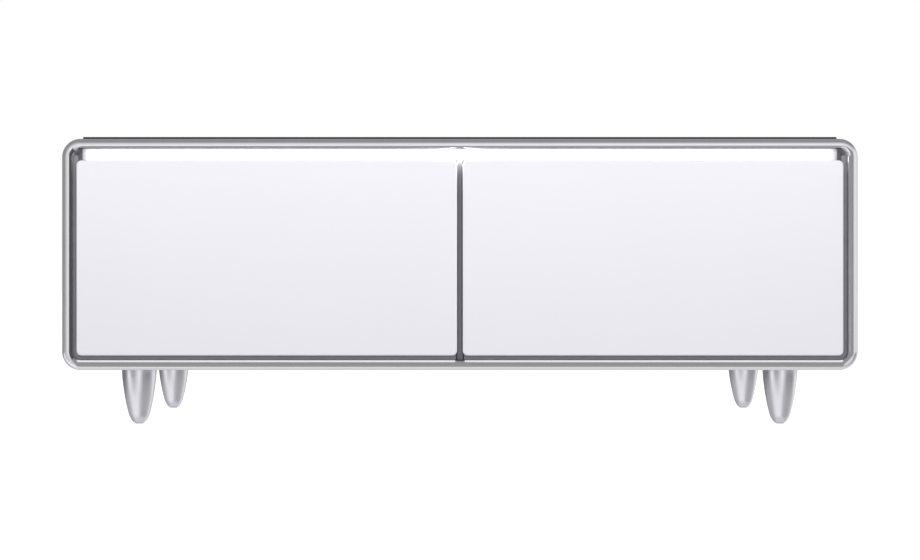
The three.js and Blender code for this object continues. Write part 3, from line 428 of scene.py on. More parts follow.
# %% [markdown]
# ## Finishes of the metals
# The frame ring is an anodised aluminium extrusion: its die leaves hair-fine lines along its length,
# and the anodic layer makes its mirror a little soft. The legs are turned and satin polished. Sheet
# steel is either powder coated, with a faint orange peel, or galvanised, with a crystal spangle.
# Pictures of metal could be wrapped on, but they stretch at bends. Noise in the piece's own space has
# one size everywhere, so each finish sets it from a real size.

# %% Finish of the frame ring
WHERE, NOISE, BUMP = "ShaderNodeTexCoord", "ShaderNodeTexNoise", "ShaderNodeBump"
SHADER, OUTPUT = "ShaderNodeBsdfPrincipled", "ShaderNodeOutputMaterial"
NOISE_SPAN = between(0.3, 0.7)  # most of a noise's values lie between these

# Satin anodised aluminium, extruded and bright dipped: a soft mirror with a cool grey tone. The lines
# of the die are too fine to show, so an even grain of 1.2 mm stands for them.
anodised_aluminium, tree = new_finish("satin_anodised_aluminium")
on_piece = add_node(tree, WHERE).outputs["Object"]
haze = add_node(tree, NOISE, {"Vector": on_piece, "Scale": 1 / (40 * MM), "Detail": 4.0})
grain = add_node(tree, NOISE, {"Vector": on_piece, "Scale": 1 / (1.2 * MM)})
tone = add_node(tree, MIX, {0: haze, 6: linear("#d8d8da"), 7: linear("#e0e0e2")}, **COLOUR)
gloss = add_node(tree, RANGE, {"Value": haze, **NOISE_SPAN, "To Min": 0.15, "To Max": 0.19})
bump = add_node(tree, BUMP, {"Height": grain, "Distance": 0.002 * MM})
sockets = {"Base Color": tone.outputs[2], "Metallic": 1.0, "Roughness": gloss, "Normal": bump}
add_node(tree, OUTPUT, {"Surface": add_node(tree, SHADER, sockets)})

# %% Finish of the legs
# Satin polished and plated steel: turned lines go round the leg, drawn as coarse as 1 mm to show.
polished_leg, tree = new_finish("satin_polished_turned_steel")
on_piece = add_node(tree, WHERE).outputs["Object"]
flattened = add_node(tree, "ShaderNodeMapping", {"Vector": on_piece, "Scale": (1, 1, 30)})
turning = add_node(tree, NOISE, {"Vector": flattened, "Scale": 1 / (30 * MM), "Detail": 3.0})
tone = add_node(tree, MIX, {0: turning, 6: linear("#cbcacf"), 7: linear("#d5d4d9")}, **COLOUR)
gloss = add_node(tree, RANGE, {"Value": turning, **NOISE_SPAN, "To Min": 0.14, "To Max": 0.2})
bump = add_node(tree, BUMP, {"Height": turning, "Distance": 0.003 * MM})
sockets = {"Base Color": tone.outputs[2], "Metallic": 1.0, "Roughness": gloss, "Normal": bump}
add_node(tree, OUTPUT, {"Surface": add_node(tree, SHADER, sockets)})


# %% Powder coatings
def powder_coating(name, tints, cloud_size, shine, metallic):
    """Sprayed and baked powder: a satin skin whose orange peel has waves of about 2 mm."""
    coat, tree = new_finish(name)
    on_piece = add_node(tree, WHERE).outputs["Object"]
    peel = add_node(tree, NOISE, {"Vector": on_piece, "Scale": 1 / (2 * MM), "Detail": 1.0})
    cloud = add_node(tree, NOISE, {"Vector": on_piece, "Scale": 1 / cloud_size})
    tone = add_node(tree, MIX, {0: cloud, 6: linear(tints[0]), 7: linear(tints[1])}, **COLOUR)
    gloss = add_node(tree, RANGE, {"Value": peel, **NOISE_SPAN, "To Min": shine[0], "To Max": shine[1]})
    bump = add_node(tree, BUMP, {"Height": peel, "Distance": 0.02 * MM})
    sockets = {"Base Color": tone.outputs[2], "Metallic": metallic, "Roughness": gloss, "Normal": bump}
    add_node(tree, OUTPUT, {"Surface": add_node(tree, SHADER, sockets)})
    return coat


# The sleeve and the rear cover: a silver powder with fine metal flake in it.
SATIN = (0.34, 0.42)
powder_coat = powder_coating("powder_coated_steel_silver", ("#c4c5ca", "#cbccd1"), 150 * MM, SATIN, 0.35)

# The bar between the drawers: dark grey, with more flake.
dark_coat = powder_coating("powder_coated_steel_grey", ("#716f75", "#79777d"), 90 * MM, SATIN, 0.5)

# The plate that the gaskets close on: paler, duller and without flake. The light bar shows it up.
DULL = (0.4, 0.5)
pale_coat = powder_coating("powder_coated_steel_pale", ("#b9b9be", "#c1c1c6"), 90 * MM, DULL, 0.0)

# %% Galvanised sheet
# Zinc on steel: crystals of about 8 mm, each catching the light a little differently.
galvanised, tree = new_finish("galvanised_steel")
on_piece = add_node(tree, WHERE).outputs["Object"]
crystals = add_node(tree, "ShaderNodeTexVoronoi", {"Vector": on_piece, "Scale": 1 / (8 * MM)})
facet = add_node(tree, "ShaderNodeSeparateColor", {"Color": crystals.outputs["Color"]})
tone = add_node(tree, MIX, {0: facet, 6: linear("#9fa2a6"), 7: linear("#b9bcc0")}, **COLOUR)
gloss = add_node(tree, RANGE, {"Value": facet, "To Min": 0.32, "To Max": 0.5})
sockets = {"Base Color": tone.outputs[2], "Metallic": 1.0, "Roughness": gloss}
add_node(tree, OUTPUT, {"Surface": add_node(tree, SHADER, sockets)})

# %% Black enamel
# Black enamelled steel of the compressor: glossy paint that has run and settled.
black_enamel, tree = new_finish("black_enamelled_steel")
on_piece = add_node(tree, WHERE).outputs["Object"]
runs = add_node(tree, NOISE, {"Vector": on_piece, "Scale": 1 / (12 * MM), "Detail": 3.0})
tone = add_node(tree, MIX, {0: runs, 6: linear("#131415"), 7: linear("#1c1d1f")}, **COLOUR)
gloss = add_node(tree, RANGE, {"Value": runs, **NOISE_SPAN, "To Min": 0.25, "To Max": 0.4})
bump = add_node(tree, BUMP, {"Height": runs, "Distance": 0.05 * MM})
sockets = {"Base Color": tone.outputs[2], "Roughness": gloss, "Normal": bump}
add_node(tree, OUTPUT, {"Surface": add_node(tree, SHADER, sockets)})

# %% Copper tube
# Drawn copper, gone slightly brown from brazing and from fingers.
drawn_copper, tree = new_finish("drawn_copper")
on_piece = add_node(tree, WHERE).outputs["Object"]
tarnish = add_node(tree, NOISE, {"Vector": on_piece, "Scale": 1 / (25 * MM), "Detail": 5.0})
tone = add_node(tree, MIX, {0: tarnish, 6: linear("#b5673f"), 7: linear("#d08a60")}, **COLOUR)
gloss = add_node(tree, RANGE, {"Value": tarnish, **NOISE_SPAN, "To Min": 0.25, "To Max": 0.45})
sockets = {"Base Color": tone.outputs[2], "Metallic": 1.0, "Roughness": gloss}
add_node(tree, OUTPUT, {"Surface": add_node(tree, SHADER, sockets)})

# %% Cold plates
# Roll bonded aluminium of the cold plates: matt, with a rolling grain along X.
rolled_aluminium, tree = new_finish("rolled_aluminium")
on_piece = add_node(tree, WHERE).outputs["Object"]
drawn_out = add_node(tree, "ShaderNodeMapping", {"Vector": on_piece, "Scale": (0.03, 1, 1)})
rolling = add_node(tree, NOISE, {"Vector": drawn_out, "Scale": 1 / (1.5 * MM)})
tone = add_node(tree, MIX, {0: rolling, 6: linear("#c8cbcf"), 7: linear("#d3d6da")}, **COLOUR)
gloss = add_node(tree, RANGE, {"Value": rolling, **NOISE_SPAN, "To Min": 0.36, "To Max": 0.5})
bump = add_node(tree, BUMP, {"Height": rolling, "Distance": 0.005 * MM})
sockets = {"Base Color": tone.outputs[2], "Metallic": 1.0, "Roughness": gloss, "Normal": bump}
add_node(tree, OUTPUT, {"Surface": add_node(tree, SHADER, sockets)})

# %% [markdown]
# ## Finishes of glass and plastics
# The fronts are glass painted white on the back: the paint is seen through a clear polished layer.
# A diffuse base under a smooth surface gives that look, and stays opaque. The top is black glass.
# Inside, the tubs and bins are white styrene, the seals soft grey vinyl, and the small parts black
# moulded plastic. One noise is enough for most of them: it shifts the tone and the gloss together.

# %% White glass
# Back painted float glass: nearly white, with the faint cool cast that the glass adds.
white_glass, tree = new_finish("white_back_painted_glass")
on_piece = add_node(tree, WHERE).outputs["Object"]
cloud = add_node(tree, NOISE, {"Vector": on_piece, "Scale": 1 / (300 * MM)})
tone = add_node(tree, MIX, {0: cloud, 6: linear("#e4e4e9"), 7: linear("#e8e7ec")}, **COLOUR)
gloss = add_node(tree, RANGE, {"Value": cloud, **NOISE_SPAN, "To Min": 0.05, "To Max": 0.08})
sockets = {"Base Color": tone.outputs[2], "Roughness": gloss, "IOR": 1.52}
add_node(tree, OUTPUT, {"Surface": add_node(tree, SHADER, sockets)})

# %% Black glass
# Tempered glass of the top: almost no colour of its own, only what it mirrors.
black_glass, tree = new_finish("black_tempered_glass")
on_piece = add_node(tree, WHERE).outputs["Object"]
wiping = add_node(tree, NOISE, {"Vector": on_piece, "Scale": 1 / (80 * MM), "Detail": 6.0})
tone = add_node(tree, MIX, {0: wiping, 6: linear("#060607"), 7: linear("#0a0a0b")}, **COLOUR)
gloss = add_node(tree, RANGE, {"Value": wiping, **NOISE_SPAN, "To Min": 0.03, "To Max": 0.07})
sockets = {"Base Color": tone.outputs[2], "Roughness": gloss, "IOR": 1.52}
add_node(tree, OUTPUT, {"Surface": add_node(tree, SHADER, sockets)})

# %% Lit acrylic
# Opal acrylic, lit from behind by a row of lamps that ends short of its ends, where it dims.
opal_acrylic, tree = new_finish("opal_acrylic_lit")
on_piece = add_node(tree, WHERE).outputs["Object"]
frost = add_node(tree, NOISE, {"Vector": on_piece, "Scale": 1 / (5 * MM)})
gloss = add_node(tree, RANGE, {"Value": frost, **NOISE_SPAN, "To Min": 0.4, "To Max": 0.5})
across = add_node(tree, "ShaderNodeSeparateXYZ", {"Vector": on_piece})
from_middle = add_node(tree, "ShaderNodeMath", {0: across.outputs["X"]}, operation="ABSOLUTE")
LAMP_ROW = {**between(626 * MM, 607 * MM), "To Min": 0.24, "To Max": 1.6}
strength = add_node(tree, RANGE, {"Value": from_middle, **LAMP_ROW}, **SMOOTH)
LIT = {"Emission Color": linear("#fdfdff"), "Emission Strength": strength}
sockets = {"Base Color": linear("#d7d7d9"), "Roughness": gloss, "IOR": 1.49, **LIT}
add_node(tree, OUTPUT, {"Surface": add_node(tree, SHADER, sockets)})

# %% White styrene
# High impact polystyrene, vacuum formed: white, satin, with a faint skin texture.
white_styrene, tree = new_finish("white_polystyrene")
on_piece = add_node(tree, WHERE).outputs["Object"]
skin = add_node(tree, NOISE, {"Vector": on_piece, "Scale": 1 / (1.5 * MM), "Detail": 2.0})
cloud = add_node(tree, NOISE, {"Vector": on_piece, "Scale": 1 / (120 * MM)})
tone = add_node(tree, MIX, {0: cloud, 6: linear("#e6e8ea"), 7: linear("#eceef0")}, **COLOUR)
gloss = add_node(tree, RANGE, {"Value": skin, **NOISE_SPAN, "To Min": 0.38, "To Max": 0.5})
bump = add_node(tree, BUMP, {"Height": skin, "Distance": 0.01 * MM})
sockets = {"Base Color": tone.outputs[2], "Roughness": gloss, "IOR": 1.59, "Normal": bump}
add_node(tree, OUTPUT, {"Surface": add_node(tree, SHADER, sockets)})

# %% Grey vinyl
# Soft vinyl of the gaskets: matt grey with a dusty bloom.
grey_vinyl, tree = new_finish("soft_grey_vinyl")
on_piece = add_node(tree, WHERE).outputs["Object"]
bloom = add_node(tree, NOISE, {"Vector": on_piece, "Scale": 1 / (10 * MM), "Detail": 4.0})
tone = add_node(tree, MIX, {0: bloom, 6: linear("#85868a"), 7: linear("#929397")}, **COLOUR)
gloss = add_node(tree, RANGE, {"Value": bloom, **NOISE_SPAN, "To Min": 0.6, "To Max": 0.75})
sockets = {"Base Color": tone.outputs[2], "Roughness": gloss, "IOR": 1.53}
add_node(tree, OUTPUT, {"Surface": add_node(tree, SHADER, sockets)})

# %% Black moulded plastic
# Black ABS with a spark eroded texture of about 1 mm.
black_abs, tree = new_finish("black_textured_abs")
on_piece = add_node(tree, WHERE).outputs["Object"]
texture = add_node(tree, NOISE, {"Vector": on_piece, "Scale": 1 / (1 * MM), "Detail": 2.0})
tone = add_node(tree, MIX, {0: texture, 6: linear("#18191b"), 7: linear("#1f2022")}, **COLOUR)
gloss = add_node(tree, RANGE, {"Value": texture, **NOISE_SPAN, "To Min": 0.5, "To Max": 0.65})
bump = add_node(tree, BUMP, {"Height": texture, "Distance": 0.03 * MM})
sockets = {"Base Color": tone.outputs[2], "Roughness": gloss, "IOR": 1.54, "Normal": bump}
add_node(tree, OUTPUT, {"Surface": add_node(tree, SHADER, sockets)})

# %% Nylon
# Moulded nylon of the floor glides: off-white, slightly translucent in life, worn matt underneath.
white_nylon, tree = new_finish("natural_nylon")
on_piece = add_node(tree, WHERE).outputs["Object"]
scuffs = add_node(tree, NOISE, {"Vector": on_piece, "Scale": 1 / (3 * MM), "Detail": 4.0})
tone = add_node(tree, MIX, {0: scuffs, 6: linear("#cfcfd0"), 7: linear("#dededf")}, **COLOUR)
gloss = add_node(tree, RANGE, {"Value": scuffs, **NOISE_SPAN, "To Min": 0.45, "To Max": 0.65})
sockets = {"Base Color": tone.outputs[2], "Roughness": gloss, "IOR": 1.53}
add_node(tree, OUTPUT, {"Surface": add_node(tree, SHADER, sockets)})

# %% Foam
# Rigid polyurethane, foamed in place, with its pale yellow cut face and open cells.
rigid_foam, tree = new_finish("rigid_polyurethane_foam")
on_piece = add_node(tree, WHERE).outputs["Object"]
cells = add_node(tree, NOISE, {"Vector": on_piece, "Scale": 1 / (2.5 * MM), "Detail": 6.0})
tone = add_node(tree, MIX, {0: cells, 6: linear("#d9cd98"), 7: linear("#efe6bd")}, **COLOUR)
gloss = add_node(tree, RANGE, {"Value": cells, **NOISE_SPAN, "To Min": 0.9, "To Max": 1.0})
bump = add_node(tree, BUMP, {"Height": cells, "Distance": 0.4 * MM})
sockets = {"Base Color": tone.outputs[2], "Roughness": gloss, "Normal": bump}
add_node(tree, OUTPUT, {"Surface": add_node(tree, SHADER, sockets)})

# %% [markdown]
# ## The CAD nodes that are shown as they are
# A folded plate, a slide or a pipe is already right in the CAD model, and most of these are hidden
# until a drawer or the cover is open. They could be built again with rounder edges, which nobody would
# see. Each only needs its finish.

# %% Finishes on the CAD nodes
ENDS, SLIDES, MEMBERS = ("front", "rear"), ("outboard", "inboard"), ("outer", "middle", "inner")
NODES_BY_FINISH = [
    (powder_coat, ["rear_cover"]),
    (pale_coat, ["face_frame"]),
    (galvanised, ["light_bar_channel", "bulkhead", "compressor_tray", "fan_baffle"]),
    (galvanised, [f"condenser_plate_{side}" for side in SIDES]),
    (galvanised, [f"nut_plate_{end}_{side}" for end in ENDS for side in SIDES]),
    (galvanised, [f"slide_{side}_{slide}_{part}" for side in SIDES for slide in SLIDES for part in MEMBERS]),
    (black_enamel, ["compressor"]),
    (rigid_foam, ["insulation_foam"]),
    (black_abs, ["touch_module", "control_box", "fan_frame", "fan_rotor"]),
    (drawn_copper, ["condenser_coil", "discharge_pipe", "suction_pipe", "filter_drier"]),
    (rolled_aluminium, [f"cold_plate_{side}" for side in SIDES]),
]
for finish, nodes in NODES_BY_FINISH:
    for node in nodes:
        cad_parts[node].material_slots[0].material = finish
print(sum(len(nodes) for _, nodes in NODES_BY_FINISH), "CAD nodes have their finish")

# %% [markdown]
# ## The frame ring
# The real ring is one extrusion, bent round the four corners: a half-round nose, a deep wall that the
# drawers close into, and behind the nose a tongue that grips the sleeve. Four bars with mitred corners
# would show seams that the bent one doesn't have. A section drawn in millimetres and carried round the
# cabinet's outline gives all of it, with a small edge wherever metal is cut.

# %% Frame ring
BODY_WIDTH, BODY_HEIGHT, BODY_RADIUS = 1300 * MM, 378 * MM, 30 * MM
bezel_low, bezel_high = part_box("front_bezel")
ring_middle = (bezel_low.z + bezel_high.z) / 2
RING_WIDTH, WALL_THICKNESS, WALL_DEPTH = 17, 2, (bezel_high.y - bezel_low.y) / MM
BACK_DEPTH, TONGUE_OUT, TONGUE_IN, TONGUE_DEPTH = 24, 2.8, 6, 36
EDGE = 0.6


def ring_section():
    """Rows (inset, depth): the nose is a half circle, and cut edges are short chamfers."""
    radius = RING_WIDTH / 2
    wall_back = RING_WIDTH - WALL_THICKNESS
    rows = [
        [(0, BACK_DEPTH - EDGE), (0, radius + EDGE)],
        quarter_round((radius, radius), radius, 180, 360, 40),
        [(RING_WIDTH, radius + EDGE), (RING_WIDTH, WALL_DEPTH - EDGE / 2)],
        [(RING_WIDTH - EDGE / 2, WALL_DEPTH), (wall_back, WALL_DEPTH)],
        [(wall_back, BACK_DEPTH), (TONGUE_IN, BACK_DEPTH)],
        [(TONGUE_IN, TONGUE_DEPTH), (TONGUE_OUT, TONGUE_DEPTH)],
        [(TONGUE_OUT, BACK_DEPTH), (EDGE, BACK_DEPTH)],
    ]
    return joined(rows) * MM


grid = carry_round(ring_section(), BODY_WIDTH, BODY_HEIGHT, BODY_RADIUS)
place = facing_front(grid, 0, bezel_low.y, ring_middle)
ring_looks = ("cabinet", anodised_aluminium, "bezel_aluminium")
frame_ring = piece_from_grid("frame_ring", place, *ring_looks, tube=True)
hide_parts("front_bezel")

# %% [markdown]
# ## The seal beside and below the drawers
# Light doesn't fall deep into the gap round the fronts: a soft grey lip closes it, pushed on the ring's
# wall at both sides and below. It has a flat foot and a thin lip that leans back. Each half runs from
# the ring's upper corner down one side and along the bottom to the centre bar. It bends round the
# corner in one piece, so each half is a stretch of one carried grid and not two straight strips.

# %% Gap seal
SEAL_DEPTH, SEAL_REACH, SEAL_FOOT, SEAL_LIP = 11.5, 8.6, 9.0, 1.6
SEAL_PLAY, SEAL_CHAMFER, SEAL_RISE, SEAL_LEAN, SEAL_SHEET, SEAL_FILLET = 0.05, 0.6, 0.3, 0.8, 1.2, 3.0
SEAL_ABOVE_BEND, FIT = 3 * MM, 0.3 * MM


def seal_section():
    """A foot on the wall and a lip with a round tip, in millimetres as (inset, depth)."""
    wall, tip, half = RING_WIDTH + SEAL_PLAY, RING_WIDTH + SEAL_REACH, SEAL_LIP / 2
    chamfer = (wall + SEAL_CHAMFER, SEAL_DEPTH - SEAL_CHAMFER - SEAL_RISE)
    rows = [
        [(wall, SEAL_DEPTH + SEAL_FOOT), (wall, SEAL_DEPTH - SEAL_CHAMFER), chamfer],
        quarter_round((tip - half, SEAL_DEPTH + half + SEAL_LEAN), half, 270, 450, 8),
        [(wall + 2 * SEAL_SHEET, SEAL_DEPTH + SEAL_LIP), (wall + SEAL_LIP, SEAL_DEPTH + SEAL_FILLET)],
        [(wall + SEAL_SHEET, SEAL_DEPTH + SEAL_FOOT)],
    ]
    return joined(rows) * MM


seal_top = bezel_high.z - BODY_RADIUS + SEAL_ABOVE_BEND
bar_low, bar_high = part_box("centre_mullion")
bar_side = bar_high.x + FIT
per_corner = CORNER_STEPS + 1 + 2  # the arc's points and its two holding points
grid = carry_round(seal_section(), BODY_WIDTH, BODY_HEIGHT, BODY_RADIUS)
for side, corner in (("left", 2), ("right", 3)):
    # Only one lower corner is kept, and rows go along the path: upright side, corner, bottom.
    run = grid[:, corner * per_corner : (corner + 1) * per_corner].transpose(1, 0, 2)
    ends = run[[0, -1]].copy()
    upright, level = (0, 1) if side == "left" else (1, 0)
    ends[upright, :, 1] = seal_top - ring_middle
    ends[level, :, 0] = -bar_side if side == "left" else bar_side
    run = facing_front(np.concatenate([ends[:1], run, ends[1:]]), 0, bezel_low.y, ring_middle)
    piece_from_grid(f"gap_seal_{side}", run, "cabinet", grey_vinyl, "gasket_rubber")

# %% [markdown]
# ## The sleeve
# The cabinet's skin is one sheet of steel, folded round and welded underneath. Its front edge hides
# behind the ring, and its rear edge is turned so that no raw steel shows. A Bevel modifier would round
# the front edge too. A thin section with a round rear end, carried round, keeps the two apart.

# %% Sleeve
wrap_low, wrap_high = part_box("cabinet_wrap")
WRAP_INSET, WRAP_THICKNESS = 1.0 * MM, 1.5 * MM
wrap_depth = wrap_high.y - wrap_low.y
half_sheet = WRAP_THICKNESS / 2
sleeve_section = np.concatenate(
    [
        [(WRAP_INSET, 0.0), (WRAP_INSET, HOLD)],
        [(WRAP_INSET, wrap_depth - half_sheet - HOLD)],
        quarter_round((WRAP_INSET + half_sheet, wrap_depth - half_sheet), half_sheet, 180, 0, 8),
        [(WRAP_INSET + WRAP_THICKNESS, wrap_depth - half_sheet - HOLD)],
        [(WRAP_INSET + WRAP_THICKNESS, 0.0)],
    ]
)
grid = carry_round(sleeve_section, BODY_WIDTH, BODY_HEIGHT, BODY_RADIUS)
sleeve = piece_from_grid(
    "sleeve", facing_front(grid, 0, wrap_low.y, ring_middle), "cabinet", powder_coat, "wrap_paint", tube=True
)
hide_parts("cabinet_wrap")

# %% [markdown]
# ## Glass: the top and the two fronts
# Flat glass is cut, its corners are rounded, and its edge is ground and polished to a small radius.
# Each pane is a stack of outlines: the edge radius is a quarter circle in the section, and one more
# row just inside it keeps the face flat in the shading. Bevelling a box would round its four corners
# and its edges by one radius, and glass has a large one and a small one.

# %% Panes
BACK_EDGE = 0.4 * MM


def pane_section(thickness, radius):
    """Rows (inset, rise) from the back face to the front face, with a quarter circle at each edge."""
    back = quarter_round((BACK_EDGE, BACK_EDGE), BACK_EDGE, 270, 180, 4)
    front = quarter_round((radius, thickness - radius), radius, 180, 90, 10)
    inner_back, inner_front = (BACK_EDGE + HOLD, 0), (radius + HOLD, thickness)
    return np.concatenate([[inner_back], back, front, [inner_front]])


glass_low, glass_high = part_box("glass_top")
GLASS_RADIUS, GLASS_EDGE = 5 * MM, 0.6 * MM
size = glass_high - glass_low
grid = carry_round(pane_section(size.z, GLASS_EDGE), size.x, size.y, GLASS_RADIUS)
place = lying_flat(grid, 0, (glass_low.y + glass_high.y) / 2, glass_low.z)
top_pane = piece_from_grid("glass_table_top", place, "cabinet", black_glass, "black_glass")
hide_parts("glass_top")

FRONT_RADIUS, FRONT_EDGE = 8 * MM, 2.5 * MM
for side in SIDES:
    low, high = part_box(f"drawer_{side}_front")
    middle, size = (low + high) / 2, high - low
    grid = carry_round(pane_section(size.y, FRONT_EDGE) * (1, -1), size.x, size.z, FRONT_RADIUS)
    place = facing_front(grid, middle.x, high.y, middle.z)
    pane = piece_from_grid(f"front_pane_{side}", place, f"drawer_{side}", white_glass, "white_glass")
    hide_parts(f"drawer_{side}_front")

# %% [markdown]
# ## The bar between the drawers and the light bar
# The centre bar is a folded steel profile with rounded front edges, which stands on the ring's lower
# rail and reaches up to the light bar. The light bar is an opal extrusion clipped into its channel: the
# lamps behind it light the finger gap, and their light falls on the top of the drawers and on the bar.
# Both keep one section from end to end, so each is an outline with its own radius at every corner,
# carried straight along.

# %% Centre bar and light bar
def bar_grid(section, along):
    """Carries a closed section (a, b) along a line. Rows go along it, and the end rows are filled."""
    section, along = np.array(section, float), np.array(along, float)
    flat = np.broadcast_to(section[None], (len(along), *section.shape))
    rise = np.broadcast_to(along[:, None, None], (len(along), len(section), 1))
    return np.concatenate([flat, rise], axis=2)


ROUND_STEPS = 6


def rounded_section(a_low, a_high, b_low, b_high, radii):
    """A rectangle whose corners low-low, high-low, high-high and low-high have a radius each."""
    r = radii
    corners = [
        quarter_round((a_low + r[0], b_low + r[0]), r[0], 180, 270, ROUND_STEPS),
        quarter_round((a_high - r[1], b_low + r[1]), r[1], 270, 360, ROUND_STEPS),
        quarter_round((a_high - r[2], b_high - r[2]), r[2], 0, 90, ROUND_STEPS),
        quarter_round((a_low + r[3], b_high - r[3]), r[3], 90, 180, ROUND_STEPS),
    ]
    return np.concatenate(corners)


BAR_NOSE, BAR_BACK_EDGE = 4 * MM, 0.5 * MM
bar_radii = (BAR_NOSE, BAR_NOSE, BAR_BACK_EDGE, BAR_BACK_EDGE)
section = rounded_section(bar_low.x, bar_high.x, bar_low.y, bar_high.y, bar_radii)
lamp_low, lamp_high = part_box("light_bar_diffuser")
grid = bar_grid(section, [bar_low.z, lamp_low.z - FIT])
centre_bar = piece_from_grid("centre_bar", grid, "cabinet", dark_coat, "grey_steel")
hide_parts("centre_mullion")

LENS_NOSE, LENS_BACK, LENS_END = 3 * MM, 0.3 * MM, 624 * MM
lens_radii = (LENS_NOSE, LENS_BACK, LENS_BACK, LENS_NOSE)
section = rounded_section(lamp_low.y, lamp_high.y, lamp_low.z, lamp_high.z, lens_radii)
grid = bar_grid(section, [-LENS_END, LENS_END])[..., [2, 0, 1]]
light_lens = piece_from_grid("light_lens", grid, "cabinet", opal_acrylic, "light_diffuser")
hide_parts("light_bar_diffuser")

# %% [markdown]
# ## Inside the drawers
# A drawer's body is a foamed block in a thin plastic skin. Its top edge has a groove behind the front
# for the fingers. The gasket on its back is a vinyl bellows with a magnet strip in its outer bead, so
# its section is waisted between two round beads. Both could be boxes with a bevel, but the groove and
# the waist are what the eye knows them by, and a section holds them.

# %% Drawer bodies and gaskets
GROOVE_DROP, GROOVE_BACK, GROOVE_RADIUS, BODY_EDGE = 18 * MM, 20 * MM, 8 * MM, 1.5 * MM
GASKET_WIDTH, GASKET_RADIUS, BEAD_RADIUS, WAIST, WAIST_STEPS = 14.0, 16 * MM, 2.0, 3.0, 12


def body_section(low, high, groove_floor):
    """The block's outline in (y, z): rounded at every edge, with the groove let into its top front."""
    back = low.y + GROOVE_BACK
    corners = [
        quarter_round((low.y + BODY_EDGE, low.z + BODY_EDGE), BODY_EDGE, 180, 270, 5),
        quarter_round((high.y - BODY_EDGE, low.z + BODY_EDGE), BODY_EDGE, 270, 360, 5),
        quarter_round((high.y - BODY_EDGE, high.z - BODY_EDGE), BODY_EDGE, 0, 90, 5),
        quarter_round((back + BODY_EDGE, high.z - BODY_EDGE), BODY_EDGE, 90, 180, 5),
        quarter_round((back - GROOVE_RADIUS, groove_floor + GROOVE_RADIUS), GROOVE_RADIUS, 360, 270, 12),
        quarter_round((low.y + BODY_EDGE, groove_floor - BODY_EDGE), BODY_EDGE, 90, 180, 5),
    ]
    return np.concatenate(corners)


def gasket_section(depth):
    """Rows (inset, depth): a round bead at each end, and half a wave of the waist between them."""
    r, width = BEAD_RADIUS, GASKET_WIDTH
    along = np.linspace(0, 1, WAIST_STEPS + 1)[1:-1]
    wave = WAIST * np.sin(math.pi * along)
    levels = r + along * (depth - 2 * r)
    near = [quarter_round((r, r), r, 270, 180, 5), np.stack([wave, levels], axis=1)]
    near += [quarter_round((r, depth - r), r, 180, 90, 5)]
    far = [quarter_round((width - r, depth - r), r, 90, 0, 5)]
    far += [np.stack([width - wave, levels], axis=1)[::-1], quarter_round((width - r, r), r, 0, -90, 5)]
    return np.concatenate([*near, *far]) * MM


for side in SIDES:
    low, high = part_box(f"drawer_{side}_core")
    front_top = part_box(f"drawer_{side}_front")[1].z
    section = body_section(low, high, front_top - GROOVE_DROP)
    grid = bar_grid(section, [low.x, low.x + HOLD, high.x - HOLD, high.x])[..., [2, 0, 1]]
    drawer = f"drawer_{side}"
    block = piece_from_grid(f"drawer_body_{side}", grid, drawer, white_styrene, "inner_plastic")
    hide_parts(f"drawer_{side}_core")

    ring_low, ring_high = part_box(f"drawer_{side}_gasket")
    size = ring_high - ring_low
    grid = carry_round(gasket_section(size.y / MM), size.x, size.z, GASKET_RADIUS, 10)
    middle = (ring_low + ring_high) / 2
    place = facing_front(grid, middle.x, ring_low.y, middle.z)
    looks = (drawer, grey_vinyl, "gasket_rubber")
    bellows = piece_from_grid(f"bellows_gasket_{side}", place, *looks, tube=True)
    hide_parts(f"drawer_{side}_gasket")

# %% [markdown]
# The bin is blow moulded: round corners, a round foot and a rolled rim. It could be a hollow box with
# a Solidify modifier, but the rim would then be a piece of its own. So it is one long section carried
# round its floor plan: up the outside, over the rim and down the inside to the floor. The rim would run
# into the drawer's body at the front, so the points there are held back to the bin's front plane.

# %% Bins
BIN_WALL, BIN_FOOT, RIM_WIDTH, RIM_THICKNESS = 2.5, 6.0, 8.0, 3.0
NECK_DROP, NECK_OUT, LIP_RADIUS, BASE_INSET, WALL_START = 1.5, 0.5, 1.2, 60, 2
BIN_RADIUS = 12 * MM


def bin_section(tall):
    """Rows (inset, rise) from the outside of the floor, over the rim, to the inside of the floor."""
    foot, rim = BIN_FOOT, RIM_THICKNESS / 2
    rows = [
        [(foot + BASE_INSET, 0), (foot + HOLD / MM, 0)],
        quarter_round((foot, foot), foot, 270, 180, 8),
        [(0, tall - RIM_THICKNESS - NECK_DROP), (-NECK_OUT, tall - RIM_THICKNESS)],
        quarter_round((rim - RIM_WIDTH, tall - rim), rim, 270, 90, 10),
        quarter_round((BIN_WALL - LIP_RADIUS, tall - LIP_RADIUS), LIP_RADIUS, 90, 0, 5),
        [(BIN_WALL, foot + WALL_START)],
        quarter_round((BIN_WALL + foot, BIN_WALL + foot), foot, 180, 270, 8),
        [(BIN_WALL + foot + BASE_INSET, BIN_WALL)],
    ]
    return joined(rows) * MM


for side in SIDES:
    low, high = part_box(f"drawer_{side}_bin")
    wide, deep = high.x - low.x - 2 * RIM_WIDTH * MM, high.y - low.y - RIM_WIDTH * MM
    grid = carry_round(bin_section((high.z - low.z) / MM), wide, deep, BIN_RADIUS, 10)
    place = lying_flat(grid, (low.x + high.x) / 2, low.y + deep / 2, low.z)
    place[..., 1] = np.maximum(place[..., 1], low.y)
    tub = piece_from_grid(f"moulded_bin_{side}", place, f"drawer_{side}", white_styrene, "inner_plastic")
    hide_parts(f"drawer_{side}_bin")

# %% [markdown]
# ## Liners
# Each liner is one vacuum formed tub, deep and open to the front. Such a tub has generous corners,
# because the hot sheet is drawn into them, and it rounds into its back wall too. Its section runs from
# the back outside, round the open edge and to the back inside, which gives the wall one thickness.

